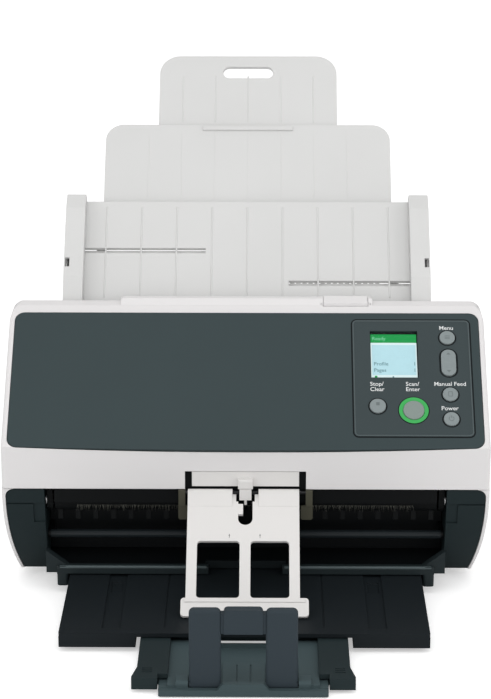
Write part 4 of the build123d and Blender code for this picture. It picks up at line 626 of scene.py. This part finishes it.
def dressBay(trim):
    for name, run in zip(("lipBeadLeft", "lipBeadRight"), trim["lipRuns"]):
        bead = beadMesh(*run, trim["lipY"], trim["lipZ"], trim["lipRadius"])
        # lighter grey as painted highlight along the lip's top
        stick(name, bead, "paintedHighlightGrey", "base")
    bar = beadMesh(-trim["barEnd"], trim["barEnd"], trim["barY"], trim["barZ"], trim["barRadius"])
    stick("crossBar", bar, "barDark", "base")
    (inner, outer), (front, back), (low, high) = trim["tabX"], trim["tabY"], trim["tabZ"]
    foot, shoulder, crown = trim["tabFoot"], trim["tabShoulder"], high + trim["tabCrown"]
    outline = [(inner, high), (inner, low + foot), (inner + foot, low), (outer - foot, low),
               (outer, low + foot), (outer, high), (outer - shoulder, crown), (inner + shoulder, crown)]
    facing = Matrix.Translation(place(0, 0, 0)) @ Matrix.Rotation(math.pi / 2, 4, "X")
    for name, side in (("bracketTabLeft", -1), ("bracketTabRight", 1)):
        tab = prismMesh([[(side * x, z) for x, z in outline]], -back, -front, facing)
        stick(name, tab, "khaki", "cover")


dressBay(bayTrim)
print("the bay has its lip bead, cross bar and tabs")


# Repeated details grown with Geometry Nodes
def startTree(name, sizes):
    tree = bpy.data.node_groups.new(name, "GeometryNodeTree")
    tree.interface.new_socket("Geometry", in_out="INPUT", socket_type="NodeSocketGeometry")
    for label, (kind, value) in sizes.items():
        socket = tree.interface.new_socket(label, in_out="INPUT", socket_type="NodeSocket" + kind)
        socket.default_value = value
    tree.interface.new_socket("Finish", in_out="INPUT", socket_type="NodeSocketMaterial")
    tree.interface.new_socket("Geometry", in_out="OUTPUT", socket_type="NodeSocketGeometry")
    return tree, tree.nodes.new("NodeGroupInput").outputs, tree.nodes.new("NodeGroupOutput")


def endTree(tree, sizes, result, points, pattern, **perCopy):
    # the last steps of every tree: a copy on each point, real geometry, then its finish
    copies = tree.nodes.new("GeometryNodeInstanceOnPoints")
    real = tree.nodes.new("GeometryNodeRealizeInstances")
    dress = tree.nodes.new("GeometryNodeSetMaterial")
    link = tree.links.new
    link(points, copies.inputs["Points"])
    link(pattern, copies.inputs["Instance"])
    for label, value in perCopy.items():
        link(value, copies.inputs[label])
    link(copies.outputs["Instances"], real.inputs["Geometry"])
    link(real.outputs["Geometry"], dress.inputs["Geometry"])
    link(sizes["Finish"], dress.inputs["Material"])
    link(dress.outputs["Geometry"], result.inputs["Geometry"])
    return tree


def vectorOf(tree, **parts):
    # a vector from values for X, Y and Z
    node = tree.nodes.new("ShaderNodeCombineXYZ")
    for axis, value in parts.items():
        tree.links.new(value, node.inputs[axis])
    return node.outputs["Vector"]


def scaled(tree, vector, factor):
    node = tree.nodes.new("ShaderNodeVectorMath")
    node.operation = "SCALE"
    node.inputs["Scale"].default_value = factor
    tree.links.new(vector, node.inputs[0])
    return node.outputs["Vector"]


def pointRow(tree, sizes):
    # points in a row across
    row = tree.nodes.new("GeometryNodeMeshLine")
    tree.links.new(vectorOf(tree, X=sizes["Pitch"]), row.inputs["Offset"])
    tree.links.new(sizes["Count"], row.inputs["Count"])
    return row.outputs["Mesh"]


def inMetres(**sizes):
    return {label: size * millimetre for label, size in sizes.items()}


def grown(name, tree, values, finish, seed=None):
    # runs a tree on a starting mesh and gives back the plain mesh it made
    host = added(name, seed or bpy.data.meshes.new(name))
    modifier = host.modifiers.new(name, "NODES")
    modifier.node_group = tree
    identifiers = {item.name: item.identifier for item in tree.interface.items_tree
                   if item.in_out == "INPUT"}
    for label, value in values.items():
        modifier[identifiers[label]] = value
    modifier[identifiers["Finish"]] = finishes[finish]
    return flatMesh(host)


def ribTree():
    # a row of round-backed ribs, half sunk in the face that carries them
    tree, sizes, result = startTree("ribRow", {
        "Count": ("Int", 10), "Pitch": ("Float", 0.01), "Length": ("Float", 0.05),
        "Radius": ("Float", 0.001),
    })
    line = tree.nodes.new("GeometryNodeCurvePrimitiveLine")
    ring = tree.nodes.new("GeometryNodeCurvePrimitiveCircle")
    ring.inputs["Resolution"].default_value = 10
    sweep = tree.nodes.new("GeometryNodeCurveToMesh")
    sweep.inputs["Fill Caps"].default_value = True
    link = tree.links.new
    link(vectorOf(tree, Y=sizes["Length"]), line.inputs["End"])
    link(sizes["Radius"], ring.inputs["Radius"])
    link(line.outputs["Curve"], sweep.inputs["Curve"])
    link(ring.outputs["Curve"], sweep.inputs["Profile Curve"])
    return endTree(tree, sizes, result, pointRow(tree, sizes), sweep.outputs["Mesh"])


def screwTree():
    # cross-recess screw heads, one on each point of the starting mesh
    tree, sizes, result = startTree("screwHeads", {
        "Radius": ("Float", 0.003), "Height": ("Float", 0.001), "Slot": ("Float", 0.0008),
    })
    head = tree.nodes.new("GeometryNodeMeshCylinder")
    head.inputs["Vertices"].default_value = 28
    cut = tree.nodes.new("GeometryNodeMeshBoolean")
    cut.operation = "DIFFERENCE"
    link = tree.links.new
    link(sizes["Radius"], head.inputs["Radius"])
    link(sizes["Height"], head.inputs["Depth"])
    link(head.outputs["Mesh"], cut.inputs["Mesh 1"])
    for longSide, shortSide in (("X", "Y"), ("Y", "X")):
        blade = tree.nodes.new("GeometryNodeMeshCube")
        link(vectorOf(tree, **{longSide: sizes["Radius"], shortSide: sizes["Slot"], "Z": sizes["Height"]}),
             blade.inputs["Size"])
        move = tree.nodes.new("GeometryNodeTransform")
        link(blade.outputs["Mesh"], move.inputs["Geometry"])
        raised = scaled(tree, vectorOf(tree, Z=sizes["Height"]), 0.6)  # the cross is cut into the top
        link(raised, move.inputs["Translation"])
        link(move.outputs["Geometry"], cut.inputs["Mesh 2"])
    return endTree(tree, sizes, result, sizes["Geometry"], cut.outputs["Mesh"])


def bristleTree():
    # a row of fine upright hairs of uneven length and lean
    tree, sizes, result = startTree("bristleRow", {
        "Count": ("Int", 100), "Pitch": ("Float", 0.001), "Length": ("Float", 0.006),
        "Radius": ("Float", 0.0002), "Lean": ("Float", 0.3), "Shortest": ("Float", 0.5), "Seed": ("Int", 3),
    })
    hair = tree.nodes.new("GeometryNodeMeshCone")
    hair.inputs["Vertices"].default_value = 5
    lean = tree.nodes.new("FunctionNodeRandomValue")
    lean.data_type = "FLOAT_VECTOR"
    tall = tree.nodes.new("FunctionNodeRandomValue")
    link = tree.links.new
    link(sizes["Length"], hair.inputs["Depth"])
    link(sizes["Radius"], hair.inputs["Radius Bottom"])
    most = vectorOf(tree, Y=sizes["Lean"], Z=sizes["Lean"])
    link(scaled(tree, most, -1), lean.inputs["Min"])
    link(most, lean.inputs["Max"])
    link(sizes["Shortest"], tall.inputs["Min"])
    for draw in (lean, tall):
        link(sizes["Seed"], draw.inputs["Seed"])
    return endTree(tree, sizes, result, pointRow(tree, sizes), hair.outputs["Mesh"],
                   Rotation=lean.outputs[0], Scale=tall.outputs[1])


ribRows = {
    # body, start of the row on the path's slope (across, up, out), count, pitch, length, radius in mm
    "chuteRibs": ("base", (-92, 12, -0.15), 9, 23, 66, 0.6),
    "supportRibsOne": ("chute_stage_1", (-66, 88, -6.27), 7, 22, 50, 0.6),
    "supportRibsTwo": ("chute_stage_2", (-44, 148, -9.15), 5, 22, 36, 0.6),
}


def growRibs(rows):
    tree = ribTree()
    for name, (body, start, count, pitch, length, radius) in rows.items():
        values = {"Count": count, **inMetres(Pitch=pitch, Length=length, Radius=radius)}
        mesh = grown(name, tree, values, "chuteGrey")
        mesh.transform(slope(path) @ moved(*start))
        stick(name, mesh, "chuteGrey", body)


brush = {
    # ends across, place, then spacing, length and radius of the hairs in mm, their lean in radians and
    # the shortest as a share of the length
    "left": -104.0, "right": 104.0, "y": 6.7, "z": 54.9, "pitch": 0.8, "length": 5.0, "radius": 0.16,
    "lean": 0.35, "shortest": 0.55,
}


def growBrush(look):
    count = int((look["right"] - look["left"]) / look["pitch"])
    values = inMetres(Pitch=look["pitch"], Length=look["length"], Radius=look["radius"])
    values.update({"Count": count, "Lean": look["lean"], "Shortest": look["shortest"]})
    mesh = grown("bayBrush", bristleTree(), values, "bristle")
    hang = Matrix.Rotation(math.pi, 4, "X")
    mesh.transform(Matrix.Translation(place(look["left"], look["y"], look["z"])) @ hang)
    stick("bayBrush", mesh, "bristle", "base")


screws = {
    # points across and along the face, head sizes, the plane of the heads' tops, all in mm, and the
    # turn that faces them outward
    "rearScrews": {"points": [(-126, 20), (126, 20), (-126, 56), (126, 56)],
                   "radius": 2.9, "height": 1.4, "slot": 0.8, "top": (0, 170.35, 0), "turn": -math.pi / 2},
    "panScrews": {"points": [(-104, 30), (104, 30), (-104, 132), (104, 132), (0, 132)],
                  "radius": 3.1, "height": 1.2, "slot": 0.9, "top": (0, 0, 4.6), "turn": math.pi},
}


def driveScrews(table):
    tree = screwTree()
    for name, look in table.items():
        points = [Vector((x, -along, -look["height"] / 2)) * millimetre for x, along in look["points"]]
        seed = bpy.data.meshes.new(name)
        seed.from_pydata(points, [], [])
        values = inMetres(Radius=look["radius"], Height=look["height"], Slot=look["slot"])
        mesh = grown(name, tree, values, "steel", seed)
        mesh.transform(Matrix.Translation(place(*look["top"])) @ Matrix.Rotation(look["turn"], 4, "X"))
        stick(name, mesh, "steel", "base")


driveScrews(screws)
growRibs(ribRows)
growBrush(brush)
print("screws, ribs and brush are grown")


# Camera, as the photograph was taken
view = {
    # mm and degrees; the clip is in m
    "aimHeight": 158.3, "distance": 1360.4, "elevation": 18.0, "azimuth": 0.48, "lens": 116.34,
    "sensor": 36, "clipStart": 0.05,
}


def setCamera(look):
    camera = added("camera", bpy.data.cameras.new("camera"))
    bpy.context.scene.camera = camera
    rise, swing = math.radians(look["elevation"]), math.radians(look["azimuth"])
    reach = look["distance"] * math.cos(rise)
    camera.location = place(reach * math.sin(swing), -reach * math.cos(swing),
                            look["aimHeight"] + look["distance"] * math.sin(rise))
    gaze = place(0, 0, look["aimHeight"]) - camera.location
    camera.rotation_euler = gaze.to_track_quat("-Z", "Y").to_euler()
    camera.data.lens = look["lens"]
    camera.data.sensor_width = look["sensor"]
    camera.data.clip_start = look["clipStart"]


# Light: a broad soft lamp over the front, weak lamps at both sides and in front, a pale room
lamps = {
    # place in m, size in m, power in W
    "overhead": ((0.0, -0.5, 1.9), 1.6, 7),
    "left": ((-1.5, -1.2, 1.0), 1.0, 5),
    "right": ((1.5, -1.0, 0.9), 1.0, 5),
    "front": ((0.0, -3.0, 0.5), 2.0, 14),
}
lampAim = Vector((0, 0, 0.12))
room = {"light": 0.72, "seen": 1.0}  # strength for the part, and for the camera
ground = {"size": 30, "shade": (0.86, 0.86, 0.86, 1), "rough": 0.9, "glow": 0.42}


def hangLamps(table):
    for name, (spot, size, power) in table.items():
        lamp = added(name + "Lamp", bpy.data.lights.new(name + "Lamp", "AREA"))
        lamp.data.size = size
        lamp.data.energy = power
        lamp.location = spot
        lamp.rotation_euler = (lampAim - Vector(spot)).to_track_quat("-Z", "Y").to_euler()


def seenByCamera(tree):
    return tree.nodes.new("ShaderNodeLightPath").outputs["Is Camera Ray"]


def paleRoom(look):
    # the camera sees white; everything else gets a soft grey light
    world = bpy.data.worlds.new("room")
    bpy.context.scene.world = world
    world.use_nodes = True
    tree = world.node_tree
    sky = tree.nodes["Background"]
    sky.inputs["Color"].default_value = (1, 1, 1, 1)
    spread(tree, seenByCamera(tree), look["light"], look["seen"], sky.inputs["Strength"])


def paleFloor(look):
    # a matt floor that looks brighter to the camera than it lights the part
    bpy.ops.mesh.primitive_plane_add(size=look["size"], location=(0, 0, 0))
    floor = bpy.context.object
    floor.name = "floor"
    material, tree, shader, where = startMaterial("floorWhite")
    shader.inputs["Base Color"].default_value = look["shade"]
    shader.inputs["Roughness"].default_value = look["rough"]
    shader.inputs["Emission Color"].default_value = (1, 1, 1, 1)
    spread(tree, seenByCamera(tree), 0, look["glow"], shader.inputs["Emission Strength"])
    floor.data.materials.append(material)


setCamera(view)
hangLamps(lamps)
paleRoom(room)
paleFloor(ground)
bpy.context.scene.view_settings.view_transform = "Standard"
print("camera, light and floor are set")
